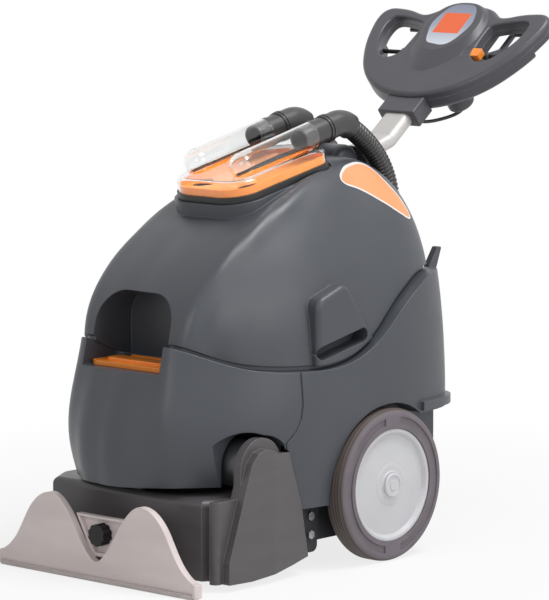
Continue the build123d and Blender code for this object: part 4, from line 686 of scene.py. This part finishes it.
field = tree.nodes.new("ShaderNodeMath")
field.operation = "MULTIPLY"
tree.links.new(inside(tree, parts.outputs["X"], -field_half, field_half), field.inputs[0])
tree.links.new(inside(tree, parts.outputs["Y"], field_front, field_back), field.inputs[1])
silver = tones(tree, span(tree, parts.outputs["Y"], 0, 1, 0.12, 0.23), (0.0, srgb(208, 214, 223)),
               (0.45, srgb(154, 161, 179)), (1.0, srgb(122, 127, 146)))
plain_orange = tones(tree, clouds(tree, 0.0012, 2), (0.3, srgb(230, 92, 26)), (0.7, srgb(234, 98, 32)))
tree.links.new(blended(tree, field.outputs[0], silver, plain_orange), shader.inputs["Base Color"])
tree.links.new(span(tree, clouds(tree, 0.004, 2), 0.28, 0.36), shader.inputs["Roughness"])
coat(panel_film, "head_panel")


# Control cable. A short black lead that loops from the gland under the head to the back of the clamp.
cable_r = 0.0032
cable_route = [(0.062, 0.3860, 0.7529), (0.062, 0.3984, 0.7376), (0.010, 0.3248, 0.7155),
               (0.010, 0.3127, 0.7310)]
lead = route_curve("control_lead", cable_route, 24)
lead.bevel_depth = cable_r
lead.bevel_resolution = 6
lead.use_fill_caps = True
lead_piece = show("control_lead", lead, black_rubber)
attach(lead_piece, "handle")
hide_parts("control_cable")
lead_path = route_points("lead_line", cable_route)


# Studio. A pale floor that runs to the white of the room, a broad light over the machine's right
# shoulder, two weaker ones beside and in front of it, and the camera where the photographer stood.
def seen_directly(tree):
    """Share that is 1 for what is seen directly, mirrored or looked through, and 0 for light on things."""
    rays = tree.nodes.new("ShaderNodeLightPath")
    first = tree.nodes.new("ShaderNodeMath")
    first.operation = "MAXIMUM"
    second = tree.nodes.new("ShaderNodeMath")
    second.operation = "MAXIMUM"
    tree.links.new(rays.outputs["Is Camera Ray"], first.inputs[0])
    tree.links.new(rays.outputs["Is Glossy Ray"], first.inputs[1])
    tree.links.new(first.outputs[0], second.inputs[0])
    tree.links.new(rays.outputs["Is Transmission Ray"], second.inputs[1])
    return second.outputs[0]


world = bpy.data.worlds.new("studio")
bpy.context.scene.world = world
world.use_nodes = True
tree = world.node_tree
ambient = tree.nodes["Background"]
ambient.inputs["Color"].default_value = (1, 1, 1, 1)
ambient.inputs["Strength"].default_value = 0.3
seen = tree.nodes.new("ShaderNodeBackground")
seen.inputs["Color"].default_value = (1, 1, 1, 1)
seen.inputs["Strength"].default_value = 1.0
choose = tree.nodes.new("ShaderNodeMixShader")
tree.links.new(seen_directly(tree), choose.inputs["Fac"])
tree.links.new(ambient.outputs[0], choose.inputs[1])
tree.links.new(seen.outputs[0], choose.inputs[2])
tree.links.new(choose.outputs[0], tree.nodes["World Output"].inputs["Surface"])

floor_size, near_glow, fade_start, fade_end = 30.0, 0.8, 0.5, 1.4
floor_mesh = bpy.data.meshes.new("floor")
floor_mesh.from_pydata([(-floor_size, -floor_size, 0), (floor_size, -floor_size, 0),
                        (floor_size, floor_size, 0), (-floor_size, floor_size, 0)], [], [(0, 1, 2, 3)])
floor_paint, tree, shader = new_finish("floor_paint", Roughness=0.9, Specular_IOR_Level=0.0)
tree.links.new(tones(tree, clouds(tree, 1.5, 2), (0.3, (0.78, 0.78, 0.78, 1)), (0.7, (0.8, 0.8, 0.8, 1))),
               shader.inputs["Base Color"])
place = tree.nodes.new("ShaderNodeTexCoord")
away = tree.nodes.new("ShaderNodeVectorMath")
away.operation = "LENGTH"
tree.links.new(place.outputs["Object"], away.inputs[0])
fade = span(tree, away.outputs["Value"], near_glow, 1.0, fade_start, fade_end)
direct = tree.nodes.new("ShaderNodeMath")
direct.operation = "MULTIPLY"
tree.links.new(fade, direct.inputs[0])
tree.links.new(seen_directly(tree), direct.inputs[1])
bright = tree.nodes.new("ShaderNodeEmission")
choose = tree.nodes.new("ShaderNodeMixShader")
tree.links.new(direct.outputs[0], choose.inputs["Fac"])
tree.links.new(shader.outputs[0], choose.inputs[1])
tree.links.new(bright.outputs[0], choose.inputs[2])
tree.links.new(choose.outputs[0], tree.nodes["Material Output"].inputs["Surface"])
floor = show("floor", floor_mesh, floor_paint)


def point_at(holder, spot, aim):
    """Puts a lamp or camera at a spot and turns it, upright, towards the aim."""
    toward = np.array(aim) - np.array(spot)
    toward /= np.linalg.norm(toward)
    holder.location = spot
    holder.rotation_euler = (math.acos(-toward[2]), 0, math.atan2(toward[1], toward[0]) - math.pi / 2)


for name, spot, aim, wide, tall, power in (
    ("side", (3.8, 0.3, 1.9), (0, -0.1, 0.4), 2.4, 2.4, 40),
    ("front", (2.2, -4.6, 2.6), (0, -0.1, 0.4), 2.4, 2.4, 46),
    ("top", (1.4, 0.6, 3.8), (0, 0, 0.5), 1.8, 1.6, 100),
):
    lamp = bpy.data.lights.new(name, "AREA")
    lamp.shape = "RECTANGLE"
    lamp.size, lamp.size_y = wide, tall
    lamp.energy = power
    holder = bpy.data.objects.new(name, lamp)
    bpy.context.scene.collection.objects.link(holder)
    point_at(holder, spot, aim)

eye = bpy.data.cameras.new("photographer")
eye.lens = 222
eye.sensor_width = 36
eye.clip_end = 100
camera = bpy.data.objects.new("photographer", eye)
bpy.context.scene.collection.objects.link(camera)
point_at(camera, (4.3081, -4.7826, 1.2574), (0, -0.0499, 0.4321))
bpy.context.scene.camera = camera
bpy.context.scene.view_settings.view_transform = "Standard"
